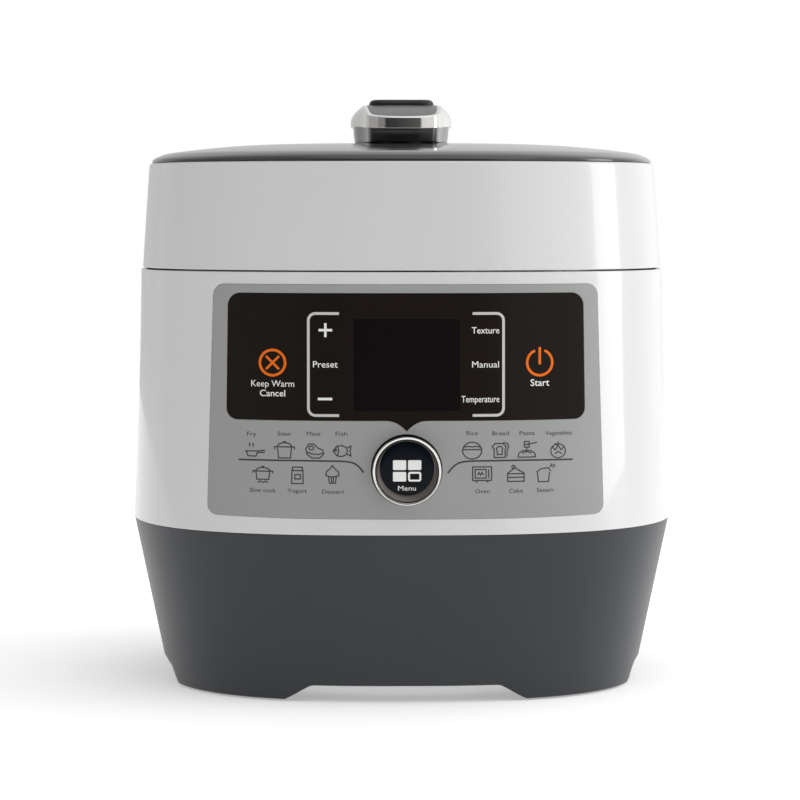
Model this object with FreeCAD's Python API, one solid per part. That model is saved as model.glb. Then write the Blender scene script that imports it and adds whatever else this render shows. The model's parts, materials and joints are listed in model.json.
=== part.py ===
import FreeCAD, Part
import math
import os

# Electric pressure cooker, modelled in millimetres, +Z up, front towards -Y.
# Everything is built about the cooking pot's axis (x = 0, y = 0) and moved by
# SHIFT_Y at export, so the origin is the bottom centre of the whole object.

V = FreeCAD.Vector
os.makedirs("parts", exist_ok=True)

# ---------------------------------------------------------------- dimensions
SHIFT_Y = -2.75            # centres the box between dial and condensate cup
N_SEC = 2.65               # superellipse exponent of the plan outline
WALL = 3.0                 # plastic wall of body and lid
Z_BASE = 94.0              # dark base / white body boundary
Z_BODY_TOP = 236.0         # top edge of the white body
Z_LID_BOT = 236.8          # bottom edge of the lid
Z_LID_TOP = 295.9          # top edge of the lid shell
BASE = [(1.0, 135.7), (17.0, 139.0), (47.0, 145.2), (77.0, 151.4), (94.0, 154.9)]
BODY = [(94.0, 155.2), (118.0, 153.9), (145.0, 152.9), (177.0, 151.7), (205.0, 151.0), (236.0, 150.5)]
LID = [(236.8, 149.6), (250.0, 148.7), (265.0, 147.7), (280.0, 146.8), (295.9, 145.5)]
DOME = [(295.95, 144.2), (297.4, 143.9), (298.6, 142.9), (300.0, 140.2), (301.4, 136.0), (302.4, 129.5),
        (303.5, 121.0), (304.5, 111.5), (305.5, 101.0), (306.2, 90.5), (306.7, 79.0), (307.0, 68.0), (307.1, 58.0)]
DOME_IN = [(295.0, 138.0), (297.0, 136.8), (299.2, 131.0), (301.2, 118.0), (302.4, 107.0), (303.4, 95.0),
           (304.2, 78.0), (304.6, 58.0)]
ARCH_H, ARCH_FLAT, ARCH_FOOT = 9.2, 51.0, 67.0
FOOT_XY, FOOT_R = 88.0, 10.0
DIAL_Z, DIAL_R = 129.3, 18.6
DIAL_FRONT = -162.5
HINGE_Y, HINGE_Z = 152.0, 237.0
PIN_R, RUN = 2.5, 0.05
HUB_R = 26.0
POT_R, POT_BOTTOM, POT_TOP = 110.0, 68.0, 226.0
OUTER_R = 116.2
LUGS, RING_IN, RING_OUT = 6, 131.0, 134.0
LID_DISC_R, LID_LUG_R = 125.0, 129.5
LID_DISC_Z0, LID_DISC_Z1 = 231.0, 234.5
HANDLE_Z0 = 307.6
TOP_Z = 333.0


# ------------------------------------------------------------------- helpers
def box(x0, x1, y0, y1, z0, z1):
    return Part.makeBox(x1 - x0, y1 - y0, z1 - z0, V(x0, y0, z0))


def cyl(r, z0, z1, x=0.0, y=0.0):
    return Part.makeCylinder(r, z1 - z0, V(x, y, z0), V(0, 0, 1))


def cyl_y(r, y0, y1, x=0.0, z=0.0):
    return Part.makeCylinder(r, y1 - y0, V(x, y0, z), V(0, 1, 0))


def cyl_x(r, x0, x1, y, z):
    return Part.makeCylinder(r, x1 - x0, V(x0, y, z), V(1, 0, 0))


def tube(ro, ri, z0, z1, x=0.0, y=0.0):
    return cyl(ro, z0, z1, x, y).cut(cyl(ri, z0 - 1, z1 + 1, x, y))


def fuse(shapes):
    s = shapes[0]
    if len(shapes) > 1:
        s = s.fuse(shapes[1:])
    return s.removeSplitter()


def group(shapes):
    return Part.makeCompound(shapes)


def rounded(points, radii, plane):
    """Closed wire of a polygon with rounded corners. plane maps (u, v) to 3-D."""
    n = len(points)
    segs = []
    for i in range(n):
        p, r = points[i], radii[i]
        a, b = points[i - 1], points[(i + 1) % n]
        d1 = (a[0] - p[0], a[1] - p[1])
        d2 = (b[0] - p[0], b[1] - p[1])
        l1, l2 = math.hypot(*d1), math.hypot(*d2)
        u1, u2 = (d1[0] / l1, d1[1] / l1), (d2[0] / l2, d2[1] / l2)
        if r <= 0:
            segs.append((p, None, p))
            continue
        half = 0.5 * math.acos(max(-1.0, min(1.0, u1[0] * u2[0] + u1[1] * u2[1])))
        t = r / math.tan(half)
        bis = (u1[0] + u2[0], u1[1] + u2[1])
        lb = math.hypot(*bis)
        k = r / math.sin(half) - r
        segs.append(((p[0] + u1[0] * t, p[1] + u1[1] * t),
                     (p[0] + bis[0] / lb * k, p[1] + bis[1] / lb * k),
                     (p[0] + u2[0] * t, p[1] + u2[1] * t)))
    edges = []
    for i in range(n):
        s, m, e = segs[i]
        if m is not None:
            edges.append(Part.Arc(plane(s), plane(m), plane(e)).toShape())
        nxt = segs[(i + 1) % n][0]
        if math.hypot(nxt[0] - e[0], nxt[1] - e[1]) > 1e-6:
            edges.append(Part.LineSegment(plane(e), plane(nxt)).toShape())
    return Part.Wire(edges)


def prism_y(points, radii, y0, y1):
    w = rounded(points, radii, lambda p: V(p[0], y0, p[1]))
    return Part.Face(w).extrude(V(0, y1 - y0, 0))


def prism_x(points, radii, x0, x1):
    w = rounded(points, radii, lambda p: V(x0, p[0], p[1]))
    return Part.Face(w).extrude(V(x1 - x0, 0, 0))


def prism_z(points, radii, z0, z1):
    w = rounded(points, radii, lambda p: V(p[0], p[1], z0))
    return Part.Face(w).extrude(V(0, 0, z1 - z0))


def rrect(x0, x1, z0, z1):
    return [(x0, z0), (x1, z0), (x1, z1), (x0, z1)]


def lathe(points, radii, x=0.0, y=0.0):
    """Solid of revolution about a vertical axis; points are (radius, z)."""
    w = rounded(points, radii, lambda p: V(x + p[0], y, p[1]))
    return Part.Face(w).revolve(V(x, y, 0), V(0, 0, 1), 360)


def lathe_y(points, radii, z):
    """Solid of revolution about an axis along Y at height z; points are (radius, y)."""
    w = rounded(points, radii, lambda p: V(p[0], p[1], z))
    return Part.Face(w).revolve(V(0, 0, z), V(0, 1, 0), 360)


def section(a, z, n=N_SEC, m=40):
    pts = []
    for i in range(m):
        t = math.pi / 2 + 2 * math.pi * i / m
        c, s = math.cos(t), math.sin(t)
        r = (abs(c) ** n + abs(s) ** n) ** (-1.0 / n)
        pts.append(V(a * r * c, a * r * s, z))
    bs = Part.BSplineCurve()
    bs.interpolate(pts, PeriodicFlag=True)
    return Part.Wire([bs.toShape()])


def loft(levels, d=0.0, ruled=False):
    return Part.makeLoft([section(a + d, z) for z, a in levels], True, ruled)


def prism_sec(a, z0, z1):
    return Part.Face(section(a, z0)).extrude(V(0, 0, z1 - z0))


def interp(table, z):
    for (z0, a0), (z1, a1) in zip(table, table[1:]):
        if z <= z1:
            return a0 + (a1 - a0) * (z - z0) / (z1 - z0)
    return table[-1][1]


def helix_spring(radius, wire, z0, z1, turns):
    h = (z1 - z0) - 2 * wire
    hx = Part.makeHelix(h / turns, h, radius)
    hx.translate(V(0, 0, z0 + wire))
    prof = Part.Wire([Part.makeCircle(wire, V(radius, 0, z0 + wire), V(0, 1, 0))])
    return Part.Wire(hx.Edges).makePipeShell([prof], True, True)


def mirror_x(shape):
    return shape.mirror(V(0, 0, 0), V(1, 0, 0))


parts = {}

# ----------------------------------------------------------------- base group
feet = []
for sx in (-1, 1):
    for sy in (-1, 1):
        f = lathe([(0, 0), (FOOT_R, 0), (FOOT_R, 4.0), (5.0, 4.0), (5.0, 9.0), (0, 9.0)],
                  [0, 1.2, 0, 0, 0.5, 0], sx * FOOT_XY, sy * FOOT_XY)
        feet.append(f)
parts["rubber_feet"] = group(feet)

outer = loft(BASE)
lip = prism_sec(151.9, 90.0, 98.0)
inner = loft([(z, a - 2.8) for z, a in [(0.0, 135.5)] + BASE[1:4] + [(90.0, interp(BASE, 90.0))]])
base_wall = outer.fuse(lip).cut(inner).cut(prism_sec(150.2, 89.9, 99.0))
floor = prism_sec(137.2, 14.0, 16.8).cut(cyl(100.0, 13, 18))
bosses = []
for sx in (-1, 1):
    for sy in (-1, 1):
        bosses.append(cyl(13.0, 4.0, 15.0, sx * FOOT_XY, sy * FOOT_XY))
screw_xy = [(104.0 * math.cos(math.radians(a)), 104.0 * math.sin(math.radians(a))) for a in (0, 90, 180, 270)]
for sx, sy in screw_xy:
    bosses.append(cyl(4.5, 15.0, 22.0, sx, sy))
inlet_pad = box(-23, 23, 134.0, 147.0, 27.0, 61.0)
inlet_pad = inlet_pad.makeFillet(4.0, [e for e in inlet_pad.Edges
                                       if abs(e.BoundBox.XLength) < 0.01 and abs(e.BoundBox.ZLength) < 0.01])
base_housing = base_wall.fuse([floor, inlet_pad] + bosses)
arch = [(-ARCH_FOOT, -2.0), (ARCH_FOOT, -2.0), (ARCH_FOOT - 1.0, 1.0), (ARCH_FLAT + 5.0, ARCH_H - 1.6),
        (ARCH_FLAT - 4.0, ARCH_H), (-ARCH_FLAT + 4.0, ARCH_H), (-ARCH_FLAT - 5.0, ARCH_H - 1.6), (-ARCH_FOOT + 1.0, 1.0)]
arch_r = [0, 0, 1.0, 6.0, 12.0, 12.0, 6.0, 1.0]
base_housing = base_housing.cut([prism_y(arch, arch_r, -170, 170), prism_x(arch, arch_r, -170, 170)])
cuts = [cyl(5.02, 3.0, 9.1, sx * FOOT_XY, sy * FOOT_XY) for sx in (-1, 1) for sy in (-1, 1)]
cuts += [cyl(2.02, 13.0, 20.2, sx, sy) for sx, sy in screw_xy]
cuts.append(box(-14.1, 14.1, 120.0, 148.0, 33.7, 54.3))
cuts.append(prism_y(rrect(-21.1, 21.1, 29.4, 58.6), [3.1] * 4, 147.0, 152.0))
parts["base_housing"] = base_housing.cut(cuts).removeSplitter()

plate = cyl(108.0, 12.2, 14.0)
slots = []
for i in range(12):
    s = box(46.0, 78.0, -2.0, 2.0, 11.0, 15.0)
    s.rotate(V(0, 0, 0), V(0, 0, 1), 15 + 30 * i)
    slots.append(s)
parts["base_plate"] = plate.cut(slots + [cyl(2.02, 11, 15, sx, sy) for sx, sy in screw_xy])
screws = []
for sx, sy in screw_xy:
    s = lathe([(0, 10.0), (3.6, 10.0), (3.6, 12.2), (2.0, 12.2), (2.0, 20.0), (0, 20.0)],
              [0, 0.8, 0, 0, 0.3, 0], sx, sy)
    screws.append(s.cut(box(sx - 2.6, sx + 2.6, sy - 0.4, sy + 0.4, 9.0, 10.8)))
parts["base_screws"] = group(screws)

# power electronics on the floor
stand_xy = [(-48, -80), (48, -80), (-48, -34), (48, -34)]
parts["board_standoffs"] = group([cyl(3.0, 14.0, 20.0, x, y) for x, y in stand_xy])
parts["power_board"] = box(-54, 54, -86, -28, 20.0, 21.6)
comps = [box(-44, -16, -72, -44, 21.6, 40.0), box(-4, 14, -78, -63, 21.6, 37.0), cyl(8.0, 21.6, 38.0, 30, -62),
         cyl(5.0, 21.6, 33.0, 44, -70), box(-8, 8, -52, -40, 21.6, 30.0), box(24, 46, -46, -38, 21.6, 36.0)]
parts["power_components"] = group(comps)
parts["pressure_switch"] = fuse([box(-14, 14, 52, 72, 35.0, 43.9), cyl(3.0, 32.0, 35.0, 0, 62)])

# mains inlet in the rear of the base
inlet = box(-14, 14, 121.0, 147.0, 33.8, 54.2).fuse(
    prism_y(rrect(-21.0, 21.0, 29.5, 58.5), [3] * 4, 147.0, 149.5))
cavity = prism_y([(-12.2, 35.6), (12.2, 35.6), (12.2, 48.6), (8.4, 52.4), (-8.4, 52.4), (-12.2, 48.6)],
                 [1.5, 1.5, 1, 1, 1, 1], 133.0, 151.0)
pins = [(-7.0, 42.2), (7.0, 42.2), (0.0, 46.2)]
pin_solids = [box(x - 1.0, x + 1.0, 117.0, 147.5, z - 2.0, z + 2.0) for x, z in pins]
inlet = inlet.cut([cavity] + pin_solids + [cyl_y(1.6, 146, 150, -17.6, 44), cyl_y(1.6, 146, 150, 17.6, 44)])
parts["mains_inlet"] = inlet.removeSplitter()
parts["inlet_pins"] = group(pin_solids)

# white body shell
N_LEDGE0, N_LEDGE1 = 218.4, 222.4
shell = loft(BODY).cut(loft([(93.0, 152.25)] + [(z, a - WALL) for z, a in BODY[1:-1]] + [(237.0, 147.5)]))
ledge = prism_sec(148.4, N_LEDGE0, N_LEDGE1).cut(prism_sec(141.5, N_LEDGE0 - 1, N_LEDGE1 + 1))
shell = shell.fuse(ledge)


def fascia_outline(g):
    return [(-104.8 - g, 229.3 + g), (104.8 + g, 229.3 + g), (108.5 + g, 103.4 - g), (-108.5 - g, 103.4 - g)]


def glass_outline(g):
    return [(-96.7 - g, 224.6 + g), (96.7 + g, 224.6 + g), (97.7 + g, 155.9 - g), (10.6 + g, 155.9 - g),
            (0.0, 150.2 - 1.2 * g), (-10.6 - g, 155.9 - g), (-97.7 - g, 155.9 - g)]


FR = [6.5, 6.5, 5.5, 5.5]
GR = [7.0, 7.0, 6.0, 5.0, 0.6, 5.0, 6.0]
LAYER = [(94.0, 155.2), (118.0, 153.9), (145.0, 152.9), (177.0, 151.7), (205.0, 151.0), (236.0, 150.5)]
layer_out = loft(LAYER, 0.35)
layer_mid = loft(LAYER, -1.7)
layer_in = loft(LAYER, -1.6)
fascia_prism = prism_y(fascia_outline(0.12), FR, -170, -80)
recess = fascia_prism.cut(layer_mid)
shell = shell.cut(recess)
display_hole = prism_y(rrect(-29.6, 29.6, 160.6, 211.2), [2] * 4, -170, -100)
dial_hole = cyl_y(19.6, -170, -120, 0, DIAL_Z)
knuckle_notch = box(-33.2, 33.2, 143.0, 160.0, 229.3, 240.0)
rear_cut = prism_y(rrect(-29.0, 29.0, 151.0, 204.0), [3] * 4, 100, 170)
drain = cyl(2.5, 200, 240, 26.0, 142.0)
shell = shell.cut([display_hole, dial_hole, knuckle_notch])
parts["body_shell"] = shell.removeSplitter()

layer = layer_out.cut(layer_in)
fascia = prism_y(fascia_outline(0.0), FR, -170, -80).common(layer)
fascia = fascia.cut([prism_y(glass_outline(0.06), GR, -170, -80), cyl_y(19.3, -170, -80, 0, DIAL_Z)])
parts["fascia_panel"] = fascia
glass_layer = loft(LAYER, 0.30).cut(layer_in)
parts["glass_overlay"] = prism_y(glass_outline(0.0), GR, -170, -80).common(glass_layer)

parts["display_module"] = box(-29.0, 29.0, -148.3, -142.4, 161.2, 210.6)
board = box(-46, 46, -141.0, -139.4, 108.0, 213.0)
parts["control_board"] = board.cut(cyl_y(2.0, -142, -138, -41, 114).fuse(cyl_y(2.0, -142, -138, 41, 114)))
parts["dial_encoder"] = lathe_y([(9.0, -155.0), (12.0, -155.0), (12.0, -147.0), (16.0, -147.0), (16.0, -141.0), (9.0, -141.0)],
                                [0, 0.4, 0, 0.4, 0, 0], DIAL_Z)
parts["menu_switch"] = fuse([box(-3, 3, -142.0, -141.0, DIAL_Z - 3, DIAL_Z + 3), cyl_y(1.6, -142.3, -142.0, 0, DIAL_Z)])
parts["dial_ring"] = lathe_y([(12.0 + RUN, -151.5), (17.05, -151.5), (17.05, DIAL_FRONT), (DIAL_R, DIAL_FRONT),
                              (DIAL_R, -148.5), (12.0 + RUN, -148.5)], [0, 0, 0.6, 0.75, 0.4, 0], DIAL_Z)
button = lathe_y([(0.0, -162.0), (16.65, -162.0), (16.65, -156.6), (8.9, -156.6), (8.9, -143.4), (0.0, -143.4)],
                 [0, 0.3, 0.5, 0, 0.5, 0], DIAL_Z)
c0 = Part.Wire([Part.makeCircle(16.25, V(0, -162.2, DIAL_Z), V(0, 1, 0))])
c1 = Part.Wire([Part.makeCircle(14.6, V(0, -160.5, DIAL_Z + 1.6), V(0, 1, 0))])
dish = Part.makeLoft([c0, c1], True, True)
parts["dial_button"] = button.cut(dish)

# pot, heater and bayonet ring
ears = []
for a in (45, 135, 225, 315):
    e = box(128.0, 158.0, -12.0, 12.0, 222.4, 224.0)
    e.rotate(V(0, 0, 0), V(0, 0, 1), a)
    ears.append(e)
can = lathe([(0.0, 44.0), (OUTER_R, 44.0), (OUTER_R, 222.4), (RING_OUT, 222.4), (RING_OUT, 224.0),
             (OUTER_R - 1.2, 224.0), (OUTER_R - 1.2, 45.2), (0.0, 45.2)], [0, 6.0, 1.5, 0, 0, 2.7, 4.8, 0])
can = can.fuse(ears)
elem_r = 62.0
ends = [(elem_r, 0.0), (elem_r * math.cos(math.radians(330)), elem_r * math.sin(math.radians(330)))]
can = can.cut([cyl(15.0, 43, 47)] + [cyl(4.0, 43, 47, x, y) for x, y in ends])
parts["outer_pot"] = can.removeSplitter()
ring = tube(RING_OUT, RING_IN, 224.0, 239.0)
lugs = []
for i in range(LUGS):
    s = tube(RING_IN + 0.6, 126.0, 236.0, 239.0)
    w = math.radians(12.0)
    wedge = Part.Face(Part.makePolygon([V(0, 0, 235), V(200 * math.cos(w), -200 * math.sin(w), 235),
                                        V(200 * math.cos(w), 200 * math.sin(w), 235), V(0, 0, 235)])).extrude(V(0, 0, 5))
    s = s.common(wedge)
    s.rotate(V(0, 0, 0), V(0, 0, 1), 30 + 60 * i)
    lugs.append(s)
ring = ring.fuse(lugs)
parts["lock_ring"] = ring.removeSplitter()

pot = lathe([(0.0, POT_BOTTOM), (POT_R, POT_BOTTOM), (POT_R, 224.0), (121.0, 224.0), (121.0, POT_TOP),
             (POT_R - 2.0, POT_TOP), (POT_R - 2.0, POT_BOTTOM + 2.4), (0.0, POT_BOTTOM + 2.4)],
            [0, 14.0, 2.0, 0.6, 0.6, 3.5, 12.0, 0])
parts["inner_pot"] = pot
heat = lathe([(15.0, 50.0), (84.0, 50.0), (86.0, 58.0), (86.0, 67.9), (15.0, 67.9)], [0.5, 2, 2, 1.5, 0.5])
torus_cut = Part.makeTorus(elem_r, 4.0, V(0, 0, 50.0), V(0, 0, 1))
parts["heating_plate"] = heat.cut(torus_cut)
elem = Part.makeTorus(elem_r, 3.9, V(0, 0, 50.0), V(0, 0, 1), 0, 360, 330)
elem = elem.common(box(-80, 80, -80, 80, 45.6, 60))
elem = fuse([elem] + [cyl(2.6, 36.0, 50.0, x, y) for x, y in ends])
parts["heating_element"] = elem
parts["sensor_bracket"] = lathe([(5.15, 33.0), (14.6, 33.0), (14.6, 42.2), (21.0, 42.2), (21.0, 44.0), (13.2, 44.0),
                                 (13.2, 34.4), (5.15, 34.4)], [0, 2.0, 1.0, 0, 0, 0.8, 0.8, 0])
parts["temperature_sensor"] = lathe([(0.0, 28.0), (5.1, 28.0), (5.1, 60.0), (11.0, 60.0), (12.4, 60.0), (12.4, 67.7), (0.0, 67.7)],
                                    [0, 0.8, 0, 0, 0, 1.5, 0])
parts["sensor_spring"] = helix_spring(8.6, 0.8, 34.5, 59.9, 5)

# top deck around the pot mouth
deck = prism_sec(147.0, 227.0, 233.0).cut(cyl(RING_OUT + 0.5, 226, 234))
skirt = prism_sec(147.0, N_LEDGE1, 227.5).cut(prism_sec(144.0, N_LEDGE1 - 1, 228.5))
deck = deck.fuse(skirt)
channel = tube(141.0, 136.6, 229.2, 234.0)
deck = deck.cut([channel, box(-33.2, 33.2, 143.2, 160.0, 226.0, 240.0), drain] + [cyl(20.0, 220, 227.0, 112 * sx, 112 * sy)
                                                                   for sx in (-1, 1) for sy in (-1, 1)])
parts["top_deck"] = deck.removeSplitter()

# hinge and rear cover
hb = box(-17.5, 17.5, 151.6, 157.6, 186.0, 236.0).fuse(cyl_x(7.0, -17.5, 17.5, HINGE_Y, HINGE_Z))
hb = hb.cut([cyl_x(PIN_R, -18, 18, HINGE_Y, HINGE_Z), box(-7.5, 7.5, 140, 170, 228.0, 246.0)])
for z in (196.0, 214.0):
    hb = hb.cut(cyl_y(2.05, 150, 160, 0, z))
parts["hinge_block"] = hb.removeSplitter()
parts["hinge_pin"] = cyl_x(PIN_R, -33.0, 33.0, HINGE_Y, HINGE_Z)
hs = Part.makeHelix(2.4, 12.0, 4.3)
hs = Part.Wire(hs.Edges).makePipeShell([Part.Wire([Part.makeCircle(0.8, V(4.3, 0, 0), V(0, 1, 0))])], True, True)
hs.rotate(V(0, 0, 0), V(0, 1, 0), 90)
hs.translate(V(-6.0, HINGE_Y, HINGE_Z))
parts["hinge_spring"] = hs
hump = box(-42.0, 42.0, 140.0, 167.0, 122.0, 226.0)
hump = hump.makeFillet(9.0, [e for e in hump.Edges if e.BoundBox.YMin > 166.9 or
                             (abs(e.BoundBox.XLength) < 0.01 and abs(e.BoundBox.ZLength) < 0.01)])
hump = hump.cut(loft(BODY, 0.05))
hump = hump.cut([box(-18.0, 18.0, 140.0, 158.2, 180.0, 230.0), prism_y(rrect(-30.6, 30.6, 148.4, 185.4), [4] * 4, 153.6, 170.0)])
hump = hump.cut(cyl(2.5, 184.0, 230.0, 24.5, 159.0))
parts["rear_cover"] = hump.removeSplitter()
cup = prism_y(rrect(-30.0, 30.0, 149.0, 184.8), [3.5] * 4, 154.2, 168.0)
cup = cup.cut(prism_y([(-28.4, 150.8), (28.4, 150.8), (28.4, 190.0), (-28.4, 190.0)], [2.5, 2.5, 0, 0], 155.9, 166.2))
cup = cup.cut(box(-29.0, 29.0, 155.9, 166.2, 180.0, 190.0))
parts["condensate_cup"] = cup.removeSplitter()
rs = []
for z in (196.0, 214.0):
    rs.append(fuse([cyl_y(2.0, 146.5, 157.6, 0, z), cyl_y(3.6, 157.6, 158.1, 0, z)]))
parts["hinge_screws"] = group(rs)
parts["body_shell"] = parts["body_shell"].cut([cyl_y(2.05, 140, 152, 0, z) for z in (196.0, 214.0)])

# ------------------------------------------------------------------ lid group
lid = loft(LID)
lid_in = loft([(236.0, 146.65)] + [(z, a - WALL) for z, a in LID[1:-1]] + [(292.9, 142.7)])
lid = lid.cut(lid_in).cut(prism_sec(137.0, 290.0, 297.0))
blocks = []
for a in (45, 135, 225, 315):
    b = box(139.0, 164.0, -8.0, 8.0, 249.0, 262.0)
    b.rotate(V(0, 0, 0), V(0, 0, 1), a)
    blocks.append(b.common(prism_sec(146.9, 248.0, 263.0)))
lid = lid.fuse(blocks)
lx = [(147.5 * math.cos(math.radians(a)), 147.5 * math.sin(math.radians(a))) for a in (45, 135, 225, 315)]
lid_cuts = [cyl_x(7.8, -33.2, 33.2, HINGE_Y, HINGE_Z)]
for s in (-1, 1):
    lid_cuts.append(box(min(s * 18.1, s * 32.4), max(s * 18.1, s * 32.4), 140.0, 160.0, 235.0, 247.3))
lid_cuts += [cyl(2.02, 248.0, 258.2, x, y) for x, y in lx]
parts["lid_shell"] = lid.cut(lid_cuts).removeSplitter()

dome = loft(DOME, 0.0, True).cut(loft(DOME_IN, 0.0, True)).cut(cyl(27.2, 300.0, 310.0))
parts["dome_cover"] = dome.removeSplitter()
liner = prism_sec(145.7, 240.4, 242.9).cut([cyl(42.5, 239, 244), cyl_x(7.8, -33.2, 33.2, HINGE_Y, HINGE_Z)])
parts["lid_liner"] = liner
sp = prism_sec(142.8, 247.0, 249.0).cut([cyl(29.9, 246, 250)] + [cyl(2.02, 246, 250, x, y) for x, y in lx])
parts["lid_support_plate"] = sp
ls = []
for x, y in lx:
    ls.append(lathe([(0, 244.6), (3.6, 244.6), (3.6, 247.0), (2.0, 247.0), (2.0, 258.0), (0, 258.0)], [0, 0.8, 0, 0, 0.3, 0], x, y))
parts["lid_screws"] = group(ls)
parts["hub_bush"] = lathe([(HUB_R + RUN, 243.6), (29.8, 243.6), (29.8, 249.0), (38.0, 249.0), (38.0, 252.0), (29.8, 252.0),
                           (29.8, 262.0), (HUB_R + RUN, 262.0)], [0.3, 0.5, 0, 0, 0.6, 1, 0.5, 0.3])
arms = []
for s in (-1, 1):
    x0, x1 = min(s * 18.3, s * 32.0), max(s * 18.3, s * 32.0)
    k = cyl_x(7.0, x0, x1, HINGE_Y, HINGE_Z)
    arm = box(x0, x1, 104.0, 155.0, 243.4, 247.0)
    web = box(x0, x1, 146.4, 156.0, 240.0, 246.0)
    a = fuse([k, arm, web]).cut(cyl_x(PIN_R + RUN, -40, 40, HINGE_Y, HINGE_Z))
    arms.append(a)
parts["hinge_arms"] = group(arms)

# ----------------------------------------------------------------- rotor group
hub = lathe([(HUB_R - 2.5, LID_DISC_Z1), (40.0, LID_DISC_Z1), (40.0, 236.5), (HUB_R, 236.5), (HUB_R, 315.5),
             (9.5, 315.5), (9.5, 313.5), (HUB_R - 2.5, 313.5)], [0, 0, 0.6, 1.0, 0.6, 0, 0, 0.5])
parts["lock_hub"] = hub.cut([cyl(2.05, 312, 317, x, 0) for x in (-16.0, 16.0)])
parts["hub_nut"] = tube(33.0, HUB_R, 262.4, 267.0).cut([box(28.5, 34, -2, 2, 262, 268), box(-34, -28.5, -2, 2, 262, 268)])
disc = cyl(LID_DISC_R, LID_DISC_Z0, LID_DISC_Z1)
dl = []
for i in range(LUGS):
    s = tube(LID_LUG_R, LID_DISC_R - 1.0, LID_DISC_Z0, LID_DISC_Z1)
    w = math.radians(11.0)
    wedge = Part.Face(Part.makePolygon([V(0, 0, 229), V(200 * math.cos(w), -200 * math.sin(w), 229),
                                        V(200 * math.cos(w), 200 * math.sin(w), 229), V(0, 0, 229)])).extrude(V(0, 0, 8))
    s = s.common(wedge)
    s.rotate(V(0, 0, 0), V(0, 0, 1), 60 * i)
    dl.append(s)
disc = disc.fuse(dl)
VENT_Y, FLOAT_Y = -11.0, 13.0
disc = disc.cut([cyl(4.02, 230, 236, 0, VENT_Y), cyl(2.56, 230, 236, 0, FLOAT_Y)])
parts["pressure_lid"] = disc.removeSplitter()
parts["sealing_ring"] = lathe([(112.0, 231.0), (124.6, 231.0), (124.6, 227.6), (122.6, 226.6), (114.5, 226.6), (112.0, 228.0)],
                              [0, 0.3, 0.8, 0.8, 0.8, 0.5])
parts["seal_retainer"] = lathe([(108.0, 231.0), (111.8, 231.0), (111.8, 228.0), (108.0, 228.0)], [0, 0, 0.6, 0.6])
parts["vent_pipe"] = tube(4.0, 2.0, 226.0, 298.0, 0, VENT_Y)
cap = cyl(11.0, 221.0, 231.0, 0, VENT_Y).cut(cyl(9.6, 222.4, 232.0, 0, VENT_Y))
capcut = []
for i in range(8):
    s = box(6.0, 12.0, -1.2, 1.2, 223.4, 229.4)
    s.rotate(V(0, 0, 0), V(0, 0, 1), 45 * i)
    s.translate(V(0, VENT_Y, 0))
    capcut.append(s)
parts["anti_block_cap"] = cap.cut(capcut)
parts["float_gasket"] = tube(4.4, 2.75, 230.3, 231.0, 0, FLOAT_Y)
parts["float_pin"] = lathe([(0, 223.6), (4.2, 223.6), (4.2, 226.0), (2.5, 226.0), (2.5, 243.0), (0, 243.0)],
                           [0, 0.5, 0.3, 0, 0.6, 0], 0, FLOAT_Y)
parts["float_clip"] = tube(4.6, 2.5, 234.9, 236.2, 0, FLOAT_Y)
lv = lathe([(0, 298.4), (4.3, 298.4), (4.3, 293.0), (9.0, 293.0), (9.0, 305.4), (0, 305.4)], [0, 0, 0.4, 0.8, 1.2, 0], 0, VENT_Y)
parts["limit_valve"] = lv


def handle_wire(table, z):
    """Closed outline, symmetric in x and y; table holds (y, half width) from 0 to the tip."""
    q = [V(w, y, z) for y, w in table]
    pts = q + [V(-p.x, p.y, z) for p in reversed(q[:-1])]
    low = [V(p.x, -p.y, z) for p in reversed(pts[1:-1])]
    bs = Part.BSplineCurve()
    bs.interpolate(pts + low, PeriodicFlag=True)
    return Part.Wire([bs.toShape()])


O_TRIM = [(0, 29.3), (10, 29.1), (20, 28.3), (30, 26.7), (40, 24.7), (50, 22.9), (60, 21.7), (67, 20.9), (72.0, 19.2),
          (75.0, 15.6), (76.6, 10.6), (77.3, 5.2), (77.5, 0)]
O_MID = [(0, 27.2), (10, 27.0), (20, 26.4), (30, 25.2), (40, 23.7), (50, 22.3), (60, 21.2), (67, 20.4), (71.6, 18.8),
         (74.5, 15.2), (76.1, 10.3), (76.8, 5.1), (77.0, 0)]
O_TOP = [(0, 21.0), (10, 21.0), (20, 21.0), (30, 20.9), (40, 20.7), (50, 20.3), (60, 19.8), (67, 19.1), (71.2, 17.6),
         (73.9, 14.2), (75.4, 9.7), (76.1, 4.9), (76.3, 0)]
O_BODY = [(0, 27.7), (10, 27.5), (20, 26.9), (30, 25.4), (40, 23.5), (50, 21.8), (60, 20.5), (67, 19.6), (71.6, 18.0),
          (74.3, 14.6), (75.7, 10.0), (76.3, 5.0), (76.5, 0)]
O_IN = [(0, 20.0), (10, 20.0), (20, 20.0), (30, 19.9), (40, 19.7), (50, 19.3), (60, 18.7), (66.5, 17.9), (70.4, 16.4),
        (72.9, 13.2), (74.3, 9.1), (75.0, 4.6), (75.2, 0)]


def band(lower, upper):
    """Solid between two curves z(y), extruded across the handle; tables hold (|y|, z)."""
    def curve(tab):
        pts = [V(-45, -y, z) for y, z in reversed(tab)] + [V(-45, y, z) for y, z in tab[1:]]
        b = Part.BSplineCurve()
        b.interpolate(pts)
        return b.toShape()
    lo, up = curve(lower), curve(upper)
    yl, zl = lower[-1]
    yu, zu = upper[-1]
    w = Part.Wire(Part.__sortEdges__([lo, up, Part.LineSegment(V(-45, yl, zl), V(-45, yu, zu)).toShape(),
                                      Part.LineSegment(V(-45, -yl, zl), V(-45, -yu, zu)).toShape()]))
    return Part.Face(w).extrude(V(90, 0, 0))


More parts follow.
